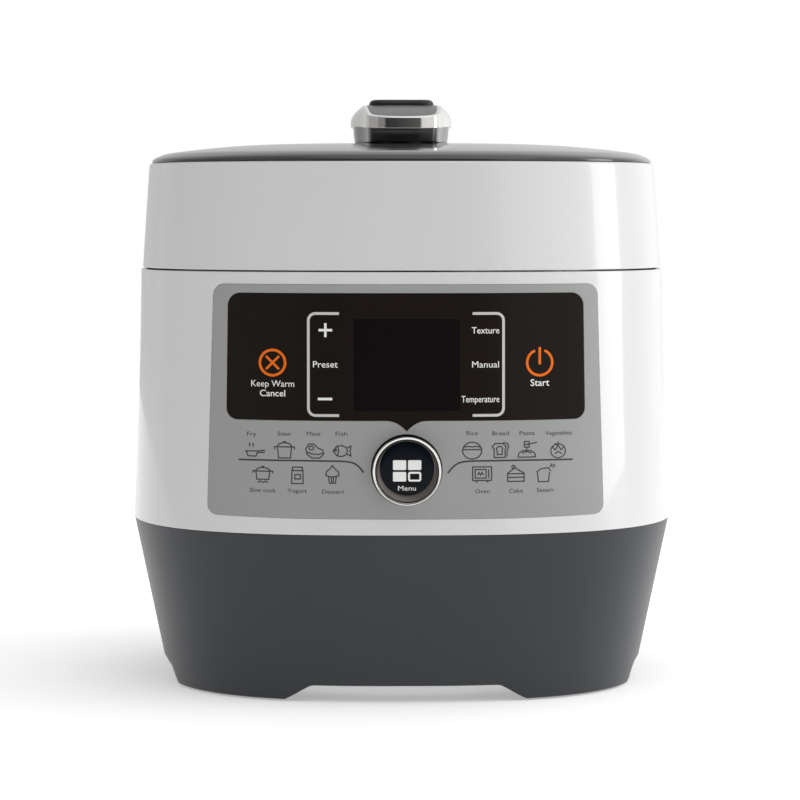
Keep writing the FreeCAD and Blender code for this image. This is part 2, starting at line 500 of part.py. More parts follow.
Z_TRIM_LO = [(0, 317.2), (20, 317.1), (40, 316.6), (60, 315.8), (80, 314.7)]
Z_TRIM_HI = [(0, 329.8), (20, 329.6), (40, 328.0), (60, 325.0), (80, 320.9)]
Z_INS_HI = [(0, 330.3), (20, 330.1), (40, 328.1), (60, 324.9), (80, 320.6)]
Z_INS_LO = [(0, 327.8), (20, 327.6), (40, 325.6), (60, 322.4), (80, 318.1)]
Z_FLOOR = [(0, 300.0), (20, 300.0), (40, 300.0), (60, 300.0), (80, 300.0)]

trim_block = Part.Face(handle_wire(O_TRIM, 312.0)).extrude(V(0, 0, 8.4)).fuse(
    Part.makeLoft([handle_wire(O_TRIM, 320.4), handle_wire(O_MID, 325.8), handle_wire(O_TOP, 330.4)], True, False))
in_prism = Part.Face(handle_wire(O_IN, 305.0)).extrude(V(0, 0, 30.0))
trim = trim_block.common(band(Z_TRIM_LO, Z_TRIM_HI)).cut(in_prism)
parts["handle_trim"] = trim.removeSplitter()
body = Part.Face(handle_wire(O_BODY, HANDLE_Z0)).extrude(V(0, 0, 12.0)).common(band(Z_FLOOR, Z_TRIM_LO))
O_CORE = [(y * 0.998, w - 0.06) for y, w in O_IN[:-1]] + [(O_IN[-1][0] - 0.08, 0)]
core = Part.Face(handle_wire(O_CORE, 312.0)).extrude(V(0, 0, 20.0)).common(band(Z_FLOOR, Z_INS_LO))
body = body.fuse(core)
pocket = prism_z([(-18.9, -24.0), (18.9, -24.0), (18.9, 24.0), (-18.9, 24.0)], [8] * 4, 322.0, 340.0)
body = body.cut([cyl(HUB_R + 0.02, 300.0, 315.6), cyl(5.4, 310, 330), cyl(9.5, 318.0, 330.0), pocket])
body = body.cut([cyl(2.02, 315, 321.2, x, 0) for x in (-16.0, 16.0)])
parts["handle_body"] = body.removeSplitter()
insert = Part.Face(handle_wire(O_CORE, 312.0)).extrude(V(0, 0, 22.0)).common(band(Z_INS_LO, Z_INS_HI)).cut(pocket)
parts["handle_insert"] = insert.removeSplitter()
parts["handle_screws"] = group([lathe([(0, 311.4), (3.6, 311.4), (3.6, 313.5), (2.0, 313.5), (2.0, 321.0), (0, 321.0)],
                                      [0, 0.7, 0, 0, 0.3, 0], x, 0) for x in (-16.0, 16.0)])
vb = prism_z([(-18.6, -23.7), (18.6, -23.7), (18.6, 23.7), (-18.6, 23.7)], [7.7] * 4, 326.0, TOP_Z)
vb = vb.makeFillet(2.4, [e for e in vb.Edges if e.BoundBox.ZMin > TOP_Z - 0.01])
parts["vent_button"] = vb.fuse(cyl(5.0, 312.5, 327.0)).removeSplitter()
parts["vent_spring"] = helix_spring(7.2, 0.9, 318.1, 325.9, 2)

# -------------------------------------------------------------------- export
total = 0
for name in sorted(parts):
    s = parts[name].copy()
    s.translate(V(0, SHIFT_Y, 0))
    ok = all(x.isValid() and x.isClosed() for x in s.Solids)
    total += 1
    s.exportStep("parts/" + name + ".step")
    b = s.BoundBox
    print("%-20s solids %d valid %s vol %.0f  x %.2f..%.2f y %.2f..%.2f z %.2f..%.2f" % (
        name, len(s.Solids), ok, s.Volume, b.XMin, b.XMax, b.YMin, b.YMax, b.ZMin, b.ZMax))
print("nodes", total)
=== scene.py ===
import json
import math

import bpy
import numpy as np
from mathutils import Matrix, Vector
from mathutils.geometry import delaunay_2d_cdt


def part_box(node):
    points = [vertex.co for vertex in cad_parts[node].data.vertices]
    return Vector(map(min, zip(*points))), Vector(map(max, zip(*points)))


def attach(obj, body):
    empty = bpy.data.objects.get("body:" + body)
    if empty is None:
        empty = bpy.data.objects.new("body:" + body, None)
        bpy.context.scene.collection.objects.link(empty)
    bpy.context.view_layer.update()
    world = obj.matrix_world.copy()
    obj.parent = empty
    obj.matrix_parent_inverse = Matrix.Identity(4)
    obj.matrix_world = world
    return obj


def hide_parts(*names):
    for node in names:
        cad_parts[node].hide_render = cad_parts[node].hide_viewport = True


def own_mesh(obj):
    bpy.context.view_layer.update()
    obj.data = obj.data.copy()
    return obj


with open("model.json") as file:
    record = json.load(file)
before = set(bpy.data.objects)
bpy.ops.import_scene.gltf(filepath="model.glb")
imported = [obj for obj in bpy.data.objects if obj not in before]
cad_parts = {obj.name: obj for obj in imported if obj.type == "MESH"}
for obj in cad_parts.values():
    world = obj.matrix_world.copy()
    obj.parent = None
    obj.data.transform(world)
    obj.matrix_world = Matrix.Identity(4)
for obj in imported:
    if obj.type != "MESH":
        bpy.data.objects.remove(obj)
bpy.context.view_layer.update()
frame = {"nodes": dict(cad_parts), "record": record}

# All shapes are worked out in millimetres about the pot axis and moved by SY into the frame.
SY = -2.75
N = 2.65
BODY = [(94.0, 155.2), (118.0, 153.9), (145.0, 152.9), (177.0, 151.7), (205.0, 151.0), (236.0, 150.5)]
LID = [(236.8, 149.6), (250.0, 148.7), (265.0, 147.7), (280.0, 146.8), (295.9, 145.5)]
BASE = [(1.0, 135.7), (17.0, 139.0), (47.0, 145.2), (77.0, 151.4), (94.0, 154.9)]
DOME = [(297.0, 144.15), (297.7, 143.9), (298.6, 142.9), (300.0, 140.2), (301.4, 136.0), (302.4, 129.5),
        (303.5, 121.0), (304.5, 111.5), (305.5, 101.0), (306.2, 90.5), (306.7, 79.0), (307.0, 68.0), (307.1, 58.0)]
DIAL_Z = (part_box("dial_ring")[0].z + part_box("dial_ring")[1].z) / 2 * 1000
DIAL_FRONT = -162.5
PB = np.polyfit([p[0] for p in BODY], [p[1] for p in BODY], 3)
PL = np.polyfit([p[0] for p in LID], [p[1] for p in LID], 2)
PS = np.polyfit([p[0] for p in BASE], [p[1] for p in BASE], 2)


def a_body(z):
    return float(np.polyval(PB, z))


def a_lid(z):
    return float(np.polyval(PL, z))


def a_base(z):
    return float(np.polyval(PS, z))


def slope(p, z):
    return float(np.polyval(np.polyder(p), z))


# ------------------------------------------------------------------ materials
def new_mat(name):
    m = bpy.data.materials.new(name)
    m.use_nodes = True
    nt = m.node_tree
    return m, nt, nt.nodes["Principled BSDF"]


def add(nt, kind, **props):
    n = nt.nodes.new(kind)
    for k, v in props.items():
        setattr(n, k, v)
    return n


def surface(name, rgb, rough=0.3, metallic=0.0, var=0.03, rough_var=0.05, scale=60.0, grain=900.0, bump=0.01,
            coat=0.0, coat_rough=0.05, ior=1.5, spec=0.5, stretch=(1, 1, 1), alpha=1.0, transmission=0.0, detail=4.0):
    """Moulded, painted or metal surface: colour and roughness drift a little, with a fine grain in the bump."""
    m, nt, p = new_mat(name)
    p.inputs["Metallic"].default_value = metallic
    p.inputs["IOR"].default_value = ior
    p.inputs["Specular IOR Level"].default_value = spec
    p.inputs["Coat Weight"].default_value = coat
    p.inputs["Coat Roughness"].default_value = coat_rough
    p.inputs["Transmission Weight"].default_value = transmission
    p.inputs["Alpha"].default_value = alpha
    tc = add(nt, "ShaderNodeTexCoord")
    mp = add(nt, "ShaderNodeMapping")
    mp.inputs["Scale"].default_value = stretch
    nt.links.new(tc.outputs["Object"], mp.inputs["Vector"])
    big = add(nt, "ShaderNodeTexNoise")
    big.inputs["Scale"].default_value = scale
    big.inputs["Detail"].default_value = detail
    nt.links.new(mp.outputs["Vector"], big.inputs["Vector"])
    ramp = add(nt, "ShaderNodeValToRGB")
    ramp.color_ramp.elements[0].position = 0.3
    ramp.color_ramp.elements[1].position = 0.7
    ramp.color_ramp.elements[0].color = [max(0.0, c * (1 - var)) for c in rgb] + [1]
    ramp.color_ramp.elements[1].color = [min(1.0, c * (1 + var)) for c in rgb] + [1]
    nt.links.new(big.outputs["Fac"], ramp.inputs["Fac"])
    nt.links.new(ramp.outputs["Color"], p.inputs["Base Color"])
    rr = add(nt, "ShaderNodeMapRange")
    rr.inputs["To Min"].default_value = max(0.01, rough - rough_var)
    rr.inputs["To Max"].default_value = min(1.0, rough + rough_var)
    fine = add(nt, "ShaderNodeTexNoise")
    fine.inputs["Scale"].default_value = grain
    fine.inputs["Detail"].default_value = 2.0
    nt.links.new(mp.outputs["Vector"], fine.inputs["Vector"])
    nt.links.new(big.outputs["Fac"], rr.inputs["Value"])
    nt.links.new(rr.outputs["Result"], p.inputs["Roughness"])
    if bump:
        b = add(nt, "ShaderNodeBump")
        b.inputs["Strength"].default_value = bump
        b.inputs["Distance"].default_value = 0.0002
        nt.links.new(fine.outputs["Fac"], b.inputs["Height"])
        nt.links.new(b.outputs["Normal"], p.inputs["Normal"])
    return m


def brushed(name, rgb, rough=0.28, radial=False, var=0.06, grain=700.0):
    """Brushed or turned steel: fine streaks in roughness and bump, round the axis when radial."""
    m, nt, p = new_mat(name)
    p.inputs["Metallic"].default_value = 1.0
    tc = add(nt, "ShaderNodeTexCoord")
    noise = add(nt, "ShaderNodeTexNoise")
    noise.inputs["Detail"].default_value = 3.0
    if radial:
        sep = add(nt, "ShaderNodeSeparateXYZ")
        nt.links.new(tc.outputs["Object"], sep.inputs["Vector"])
        sq = []
        for ax in ("X", "Y"):
            mul = add(nt, "ShaderNodeMath", operation="MULTIPLY")
            nt.links.new(sep.outputs[ax], mul.inputs[0])
            nt.links.new(sep.outputs[ax], mul.inputs[1])
            sq.append(mul)
        sm = add(nt, "ShaderNodeMath", operation="ADD")
        nt.links.new(sq[0].outputs[0], sm.inputs[0])
        nt.links.new(sq[1].outputs[0], sm.inputs[1])
        rt = add(nt, "ShaderNodeMath", operation="SQRT")
        nt.links.new(sm.outputs[0], rt.inputs[0])
        comb = add(nt, "ShaderNodeCombineXYZ")
        nt.links.new(rt.outputs[0], comb.inputs["X"])
        nt.links.new(sep.outputs["Z"], comb.inputs["Y"])
        nt.links.new(comb.outputs["Vector"], noise.inputs["Vector"])
        noise.inputs["Scale"].default_value = grain
    else:
        mp = add(nt, "ShaderNodeMapping")
        mp.inputs["Scale"].default_value = (0.05, 1, 1)
        nt.links.new(tc.outputs["Object"], mp.inputs["Vector"])
        nt.links.new(mp.outputs["Vector"], noise.inputs["Vector"])
        noise.inputs["Scale"].default_value = grain
    ramp = add(nt, "ShaderNodeValToRGB")
    ramp.color_ramp.elements[0].color = [c * (1 - var) for c in rgb] + [1]
    ramp.color_ramp.elements[1].color = [min(1.0, c * (1 + var)) for c in rgb] + [1]
    nt.links.new(noise.outputs["Fac"], ramp.inputs["Fac"])
    nt.links.new(ramp.outputs["Color"], p.inputs["Base Color"])
    rr = add(nt, "ShaderNodeMapRange")
    rr.inputs["To Min"].default_value = max(0.02, rough - 0.1)
    rr.inputs["To Max"].default_value = rough + 0.1
    nt.links.new(noise.outputs["Fac"], rr.inputs["Value"])
    nt.links.new(rr.outputs["Result"], p.inputs["Roughness"])
    b = add(nt, "ShaderNodeBump")
    b.inputs["Strength"].default_value = 0.12
    b.inputs["Distance"].default_value = 0.0001
    nt.links.new(noise.outputs["Fac"], b.inputs["Height"])
    nt.links.new(b.outputs["Normal"], p.inputs["Normal"])
    return m


WHITE = surface("white_gloss_plastic", (0.715, 0.705, 0.705), rough=0.24, var=0.006, rough_var=0.02, scale=9, bump=0.002, spec=0.5, coat=0.6, coat_rough=0.03)
DARK = surface("dark_satin_plastic", (0.0215, 0.0240, 0.0285), rough=0.37, var=0.05, rough_var=0.03, scale=14, grain=2600, bump=0.05, spec=0.45)
GREY = surface("fascia_satin_grey", (0.337, 0.340, 0.337), rough=0.5, var=0.015, rough_var=0.03, scale=20, grain=3000, bump=0.03, spec=0.25)
GLASS = surface("panel_gloss_black", (0.0125, 0.0090, 0.0068), rough=0.2, var=0.02, rough_var=0.01, scale=12, bump=0.0, spec=0.1)
SCREEN = surface("display_window", (0.0065, 0.0050, 0.0055), rough=0.14, var=0.02, rough_var=0.01, scale=12, bump=0.0, spec=0.1)
INK_W = surface("ink_white", (0.86, 0.86, 0.84), rough=0.5, var=0.01, rough_var=0.02, bump=0.0, spec=0.2)
INK_B = surface("ink_bracket", (0.60, 0.585, 0.56), rough=0.5, var=0.01, rough_var=0.02, bump=0.0, spec=0.2)
INK_O = surface("ink_orange", (0.83, 0.155, 0.004), rough=0.5, var=0.02, rough_var=0.02, bump=0.0, spec=0.2)
INK_D = surface("ink_dark", (0.045, 0.045, 0.045), rough=0.55, var=0.03, rough_var=0.02, bump=0.0, spec=0.2)
DOMEM = surface("dome_gloss_dark", (0.030, 0.033, 0.036), rough=0.16, var=0.04, rough_var=0.02, scale=8, bump=0.003, spec=0.6, coat=0.5, coat_rough=0.08)
HBLACK = surface("handle_gloss_black", (0.019, 0.018, 0.021), rough=0.16, var=0.05, rough_var=0.02, scale=30, bump=0.004, spec=0.55)
HINS = surface("handle_insert_black", (0.022, 0.023, 0.026), rough=0.28, var=0.04, rough_var=0.02, scale=30, bump=0.004, spec=0.28)
CHROME = surface("bright_chrome", (0.80, 0.785, 0.765), rough=0.055, metallic=1.0, var=0.01, rough_var=0.02, scale=40, grain=1500, bump=0.004)
# Menu button rim: dark brown-tinted metal. The brown tint is a painted reflection, standing in for the brownish
# reflection of a chrome band; the metal still reflects the scene.
RIM_TINT_PAINTED_REFLECTION = surface("dial_rim_painted_reflection", (0.125, 0.112, 0.106), rough=0.34, metallic=0.7, var=0.05, rough_var=0.04, scale=80, bump=0.01)
NAVY = surface("dial_navy_gloss", (0.0030, 0.0048, 0.0080), rough=0.14, var=0.05, rough_var=0.02, scale=60, bump=0.0, spec=0.1)
RUBBER = surface("rubber_dark", (0.022, 0.022, 0.022), rough=0.72, var=0.12, rough_var=0.08, scale=120, grain=1800, bump=0.25, spec=0.3)
SILICONE = surface("silicone_seal", (0.62, 0.62, 0.60), rough=0.42, var=0.03, rough_var=0.05, scale=90, bump=0.05)
STEEL = brushed("steel_turned", (0.58, 0.575, 0.56), 0.24, radial=True)
POT = brushed("pot_polished", (0.62, 0.60, 0.575), 0.20, radial=True, grain=420)
ZINC = surface("zinc_plate", (0.52, 0.53, 0.54), rough=0.36, metallic=1.0, var=0.10, rough_var=0.08, scale=140, grain=1400, bump=0.03)
ALLOY = surface("cast_alloy", (0.60, 0.61, 0.62), rough=0.45, metallic=1.0, var=0.06, rough_var=0.08, scale=160, grain=2000, bump=0.12)
LINER = surface("liner_grey", (0.15, 0.15, 0.155), rough=0.45, var=0.04, rough_var=0.05, scale=30, grain=2200, bump=0.06)
INNER = surface("inner_plastic", (0.05, 0.05, 0.053), rough=0.5, var=0.08, rough_var=0.05, scale=60, grain=2200, bump=0.08)
PCB = surface("solder_mask", (0.012, 0.10, 0.045), rough=0.35, var=0.25, rough_var=0.08, scale=260, grain=1600, bump=0.05)
COMP = surface("component_case", (0.035, 0.035, 0.038), rough=0.5, var=0.15, rough_var=0.05, scale=200, bump=0.04)
BRASS = surface("brass_pin", (0.62, 0.43, 0.16), rough=0.28, metallic=1.0, var=0.08, rough_var=0.06, scale=150, bump=0.02)
SPRING = surface("spring_wire", (0.42, 0.42, 0.43), rough=0.3, metallic=1.0, var=0.1, rough_var=0.06, scale=300, bump=0.02)
CLEAR = surface("clear_cup", (0.80, 0.84, 0.86), rough=0.09, var=0.01, rough_var=0.02, scale=30, bump=0.003, transmission=0.85, ior=1.49)

BY_SLOT = {"shell_white": WHITE, "base_dark": DARK, "fascia_grey": GREY, "panel_black": GLASS, "dome_black": DOMEM,
           "handle_black": HBLACK, "chrome": CHROME, "button_navy": NAVY, "steel": STEEL, "steel_zinc": ZINC,
           "pot_steel": POT, "alloy": ALLOY, "rubber_dark": RUBBER, "silicone": SILICONE, "brass": BRASS, "pcb": PCB,
           "component": COMP, "liner": LINER, "inner_plastic": INNER, "cup_clear": CLEAR, "spring": SPRING}
NODE_SLOT = {s["node"]: s["material_slot"] for s in frame["record"]["subparts"]}
for node, ob in frame["nodes"].items():
    m = BY_SLOT[NODE_SLOT[node]]
    ob.data.materials.clear()
    ob.data.materials.append(m)


# -------------------------------------------------------------- mesh building
def mm(v):
    return (v[0] / 1000.0, (v[1] + SY) / 1000.0, v[2] / 1000.0)


def build(name, verts, faces, mat, body, node=None, slot=None, angle=32.0, normals=None):
    me = bpy.data.meshes.new(name)
    me.from_pydata([mm(v) for v in verts], [], faces)
    me.validate()
    me.update()
    ob = bpy.data.objects.new(name, me)
    bpy.context.scene.collection.objects.link(ob)
    me.materials.append(mat)
    finish_mesh(ob, angle, normals)
    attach(ob, body)
    if node:
        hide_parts(*([node] if isinstance(node, str) else node))
        if slot is None:
            slot = NODE_SLOT[node if isinstance(node, str) else node[0]]
    return ob


def finish_mesh(ob, angle=32.0, normals=None):
    me = ob.data
    import bmesh
    bm = bmesh.new()
    bm.from_mesh(me)
    bmesh.ops.recalc_face_normals(bm, faces=bm.faces)
    bm.to_mesh(me)
    bm.free()
    me.shade_smooth()
    me.set_sharp_from_angle(angle=math.radians(angle))
    if normals:
        custom_normals(me, normals)


def custom_normals(me, fn):
    """fn(point in mm about the pot axis) gives the exact surface normal, or None off the exact surface."""
    exact = []
    for v in me.vertices:
        exact.append(fn((v.co.x * 1000, v.co.y * 1000 - SY, v.co.z * 1000)))
    loops = [tuple(n.vector) for n in me.corner_normals]
    for f in me.polygons:
        ids = list(f.vertices)
        if all(exact[i] is not None for i in ids):
            if sum(f.normal[k] * exact[ids[0]][k] for k in range(3)) > 0.5:
                for li, vi in zip(f.loop_indices, ids):
                    loops[li] = exact[vi]
    me.normals_split_custom_set(loops)


def se_normal(poly, d, tol=0.02):
    def fn(p):
        x, y, z = p
        r = (abs(x) ** N + abs(y) ** N) ** (1 / N)
        a = float(np.polyval(poly, z)) + d
        if abs(r - a) > tol:
            return None
        gx = math.copysign(abs(x) ** (N - 1), x) * r ** (1 - N)
        gy = math.copysign(abs(y) ** (N - 1), y) * r ** (1 - N)
        gz = -slope(poly, z)
        l = math.sqrt(gx * gx + gy * gy + gz * gz)
        return (gx / l, gy / l, gz / l)
    return fn


def fillet(points, radii, seg=5):
    """Polygon in the plane with its corners rounded."""
    out = []
    n = len(points)
    for i in range(n):
        p, r = points[i], radii[i]
        a, b = points[i - 1], points[(i + 1) % n]
        if r <= 0:
            out.append(p)
            continue
        d1 = (a[0] - p[0], a[1] - p[1])
        d2 = (b[0] - p[0], b[1] - p[1])
        l1, l2 = math.hypot(*d1), math.hypot(*d2)
        u1, u2 = (d1[0] / l1, d1[1] / l1), (d2[0] / l2, d2[1] / l2)
        half = 0.5 * math.acos(max(-1, min(1, u1[0] * u2[0] + u1[1] * u2[1])))
        t = min(r / math.tan(half), 0.49 * l1, 0.49 * l2)
        r = t * math.tan(half)
        bl = math.hypot(u1[0] + u2[0], u1[1] + u2[1])
        cx, cy = p[0] + (u1[0] + u2[0]) / bl * r / math.sin(half), p[1] + (u1[1] + u2[1]) / bl * r / math.sin(half)
        s = (p[0] + u1[0] * t, p[1] + u1[1] * t)
        e = (p[0] + u2[0] * t, p[1] + u2[1] * t)
        a0 = math.atan2(s[1] - cy, s[0] - cx)
        a1 = math.atan2(e[1] - cy, e[0] - cx)
        d = (a1 - a0 + math.pi) % (2 * math.pi) - math.pi
        for k in range(seg + 1):
            w = a0 + d * k / seg
            out.append((cx + r * math.cos(w), cy + r * math.sin(w)))
    return out


def unit_se(t, n=N):
    c, s = math.cos(t), math.sin(t)
    r = (abs(c) ** n + abs(s) ** n) ** (-1.0 / n)
    return c * r, s * r


def sweep(profile, m=384, low=None):
    """Closed profile of (a, z) or (a, z, exponent) swept round the rounded-square outline. low(x, y, z) may lift a point."""
    verts, faces = [], []
    k = len(profile)
    for i in range(m):
        t = math.pi / 2 + 2 * math.pi * i / m
        for p in profile:
            ux, uy = unit_se(t, p[2] if len(p) > 2 else N)
            x, y, z = ux * p[0], uy * p[0], p[1]
            if low:
                z = low(x, y, z)
            verts.append((x, y, z))
    for i in range(m):
        j = (i + 1) % m
        for q in range(k):
            r = (q + 1) % k
            faces.append((i * k + q, j * k + q, j * k + r, i * k + r))
    return verts, faces


def dense(fn, z0, z1, step):
    n = max(1, int(round((z1 - z0) / step)))
    return [(fn(z0 + (z1 - z0) * i / n), z0 + (z1 - z0) * i / n) for i in range(n + 1)]


def lathe_mesh(profile, axis_z=None, m=128):
    """Closed profile revolved: about the vertical pot axis, or about the line along Y at height axis_z; points are (r, s)."""
    verts, faces = [], []
    k = len(profile)
    for i in range(m):
        t = 2 * math.pi * i / m
        for r, s in profile:
            if axis_z is None:
                verts.append((r * math.cos(t), r * math.sin(t), s))
            else:
                verts.append((r * math.cos(t), s, axis_z + r * math.sin(t)))
    for i in range(m):
        j = (i + 1) % m
        for q in range(k):
            w = (q + 1) % k
            faces.append((i * k + q, j * k + q, j * k + w, i * k + w))
    return verts, faces


def resample(loop, step):
    out = []
    n = len(loop)
    for i in range(n):
        a, b = loop[i], loop[(i + 1) % n]
        l = math.hypot(b[0] - a[0], b[1] - a[1])
        if l < 1e-6:
            continue
        k = max(1, int(math.ceil(l / step)))
        for j in range(k):
            out.append((a[0] + (b[0] - a[0]) * j / k, a[1] + (b[1] - a[1]) * j / k))
    return out


def area2(loop):
    return 0.5 * sum(loop[i][0] * loop[(i + 1) % len(loop)][1] - loop[(i + 1) % len(loop)][0] * loop[i][1] for i in range(len(loop)))


def inset(loop, d):
    """Loop moved inwards by d (outwards for a hole given d < 0), same number of points."""
    n = len(loop)
    sgn = 1 if area2(loop) > 0 else -1
    out = []
    for i in range(n):
        a, p, b = loop[i - 1], loop[i], loop[(i + 1) % n]
        e1 = (p[0] - a[0], p[1] - a[1])
        e2 = (b[0] - p[0], b[1] - p[1])
        l1, l2 = math.hypot(*e1) or 1e-9, math.hypot(*e2) or 1e-9
        n1 = (-e1[1] / l1, e1[0] / l1)
        n2 = (-e2[1] / l2, e2[0] / l2)
        nx, ny = n1[0] + n2[0], n1[1] + n2[1]
        l = math.hypot(nx, ny) or 1e-9
        nx, ny = nx / l, ny / l
        c = max(0.5, nx * n1[0] + ny * n1[1])
        out.append((p[0] + sgn * d * nx / c, p[1] + sgn * d * ny / c))
    return out


def inside(pt, loop):
    x, y = pt
    r = False
    n = len(loop)
    for i in range(n):
        x0, y0 = loop[i]
        x1, y1 = loop[(i + 1) % n]
        if (y0 > y) != (y1 > y) and x < (x1 - x0) * (y - y0) / (y1 - y0) + x0:
            r = not r
    return r


def near(pt, loops, d):
    for lp in loops:
        a = np.asarray(lp)
        if np.min((a[:, 0] - pt[0]) ** 2 + (a[:, 1] - pt[1]) ** 2) < d * d:
            return True
    return False


def fill(outer, holes, grid):
    """Triangles of a region with holes, with grid points inside so that it can follow a curved surface."""
    loops = [outer] + holes
    pts, edges = [], []
    for lp in loops:
        s = len(pts)
        pts += lp
        edges += [(s + i, s + (i + 1) % len(lp)) for i in range(len(lp))]
    nb = len(pts)
    if grid:
        xs = [p[0] for p in outer]
        ys = [p[1] for p in outer]
        x = min(xs) + grid / 2
        while x < max(xs):
            y = min(ys) + grid / 2
            while y < max(ys):
                if inside((x, y), outer) and not any(inside((x, y), h) for h in holes) and not near((x, y), loops, grid * 0.55):
                    pts.append((x, y))
                y += grid
            x += grid
    res = delaunay_2d_cdt([Vector(p) for p in pts], edges, [], 0, 1e-5)
    vs = [(v.x, v.y) for v in res[0]]
    back = {}
    for new, olds in enumerate(res[3]):
        for o in olds:
            back[o] = new
    tris = []
    for f in res[2]:
        c = (sum(vs[i][0] for i in f) / len(f), sum(vs[i][1] for i in f) / len(f))
        if inside(c, outer) and not any(inside(c, h) for h in holes):
            tris.append(tuple(f))
    rings = []
    s = 0
    for lp in loops:
        rings.append([back[s + i] for i in range(len(lp))])
        s += len(lp)
    return vs, tris, rings


def plate(outer, holes, place, top, bottom, bevel=0.0, grid=3.0, bseg=2):
    """Closed plate over a 2-D region. place(u, v, d) gives the 3-D point at height d above the base surface."""
    o2 = inset(outer, bevel) if bevel else outer
    h2 = [inset(h, -bevel) if bevel else h for h in holes]
    vs, tris, rings = fill(o2, h2, grid)
    verts = [place(u, v, top) for u, v in vs]
    faces = list(tris)
    nb = len(verts)
    vb = fill(outer, holes, grid)
    verts += [place(u, v, bottom) for u, v in vb[0]]
    faces += [tuple(reversed([nb + i for i in f])) for f in vb[1]]
    for ring_t, ring_b, lp, lp2 in zip(rings, vb[2], [outer] + holes, [o2] + h2):
        prev = ring_t
        n = len(lp)
        if bevel:
            for s in range(1, bseg + 1):
                w = s / bseg * math.pi / 2
                cur = []
                for i in range(n):
                    f = math.sin(w)
                    u = lp2[i][0] + (lp[i][0] - lp2[i][0]) * f
                    v = lp2[i][1] + (lp[i][1] - lp2[i][1]) * f
                    verts.append(place(u, v, top - bevel * (1 - math.cos(w))))
                    cur.append(len(verts) - 1)
                for i in range(n):
                    j = (i + 1) % n
                    faces.append((prev[i], prev[j], cur[j], cur[i]))
                prev = cur
        for i in range(n):
            j = (i + 1) % n
            b0, b1 = nb + ring_b[i], nb + ring_b[j]
            faces.append((prev[i], prev[j], b1, b0))
    return verts, faces


def front(x, z, d):
    """Point on the front of the body at height d above its surface."""
    a = a_body(z) + d
    t = max(0.0, 1 - (abs(x) / a) ** N)
    return (x, -a * t ** (1 / N), z)


def ribbon(path, width, place, top, bottom, closed=False, step=1.2, taper=None):
    """Raised line of that width along a path in the plane."""
    if closed:
        pts = resample(path, step)
    else:
        pts = []
        for a, b in zip(path, path[1:]):
            l = math.hypot(b[0] - a[0], b[1] - a[1])
            k = max(1, int(math.ceil(l / step)))
            pts += [(a[0] + (b[0] - a[0]) * j / k, a[1] + (b[1] - a[1]) * j / k) for j in range(k)]
        pts.append(path[-1])
    n = len(pts)
    left, right = [], []
    for i in range(n):
        a = pts[i - 1] if (closed or i > 0) else pts[i]
        b = pts[(i + 1) % n] if (closed or i < n - 1) else pts[i]
        p = pts[i]
        e1 = (p[0] - a[0], p[1] - a[1])
        e2 = (b[0] - p[0], b[1] - p[1])
        l1, l2 = math.hypot(*e1), math.hypot(*e2)
        if l1 < 1e-9:
            e1, l1 = e2, l2
        if l2 < 1e-9:
            e2, l2 = e1, l1
        n1 = (-e1[1] / l1, e1[0] / l1)
        n2 = (-e2[1] / l2, e2[0] / l2)
        nx, ny = n1[0] + n2[0], n1[1] + n2[1]
        l = math.hypot(nx, ny)
        if l < 1e-6:
            nx, ny = n1
        else:
            nx, ny = nx / l, ny / l
        c = max(0.55, nx * n1[0] + ny * n1[1])
        h = width / 2 / c
        left.append((p[0] + nx * h, p[1] + ny * h))
        right.append((p[0] - nx * h, p[1] - ny * h))
    verts, faces = [], []
    for i in range(n):
        for q, d in ((left[i], top), (right[i], top), (right[i], bottom), (left[i], bottom)):
            verts.append(place(q[0], q[1], d))
    m = n if closed else n - 1
    for i in range(m):
        j = (i + 1) % n
        for q in range(4):
            r = (q + 1) % 4
            faces.append((i * 4 + q, j * 4 + q, j * 4 + r, i * 4 + r))
    if not closed:
        faces.append((0, 1, 2, 3))
        faces.append(((n - 1) * 4 + 3, (n - 1) * 4 + 2, (n - 1) * 4 + 1, (n - 1) * 4))
    return verts, faces


def join(parts):
    verts, faces = [], []
    for v, f in parts:
        s = len(verts)
        verts += v
        faces += [tuple(i + s for i in q) for q in f]
    return verts, faces


def circle(cx, cy, r, n=48, a0=0.0, a1=360.0):
    k = n if a1 - a0 >= 359.9 else n + 1
    return [(cx + r * math.cos(math.radians(a0 + (a1 - a0) * i / n)), cy + r * math.sin(math.radians(a0 + (a1 - a0) * i / n))) for i in range(k)]


def boolean(ob, cutter_data, name="cut"):
    me = bpy.data.meshes.new(name)
    me.from_pydata([mm(v) for v in cutter_data[0]], [], cutter_data[1])
    me.validate()
    cu = bpy.data.objects.new(name, me)
    bpy.context.scene.collection.objects.link(cu)
    import bmesh
    bm = bmesh.new()
    bm.from_mesh(me)
    bmesh.ops.recalc_face_normals(bm, faces=bm.faces)
    bm.to_mesh(me)
    bm.free()
    mod = ob.modifiers.new("cut", "BOOLEAN")
    mod.operation = "DIFFERENCE"
    mod.solver = "EXACT"
    mod.object = cu
    dg = bpy.context.evaluated_depsgraph_get()
    new = bpy.data.meshes.new_from_object(ob.evaluated_get(dg))
    ob.modifiers.remove(mod)
    old = ob.data
    ob.data = new
    bpy.data.meshes.remove(old)
    bpy.data.objects.remove(cu)
    bpy.data.meshes.remove(me)


def box_data(x0, x1, y0, y1, z0, z1):
    v = [(x, y, z) for x in (x0, x1) for y in (y0, y1) for z in (z0, z1)]
    f = [(0, 1, 3, 2), (4, 6, 7, 5), (0, 4, 5, 1), (2, 3, 7, 6), (0, 2, 6, 4), (1, 5, 7, 3)]
    return v, f


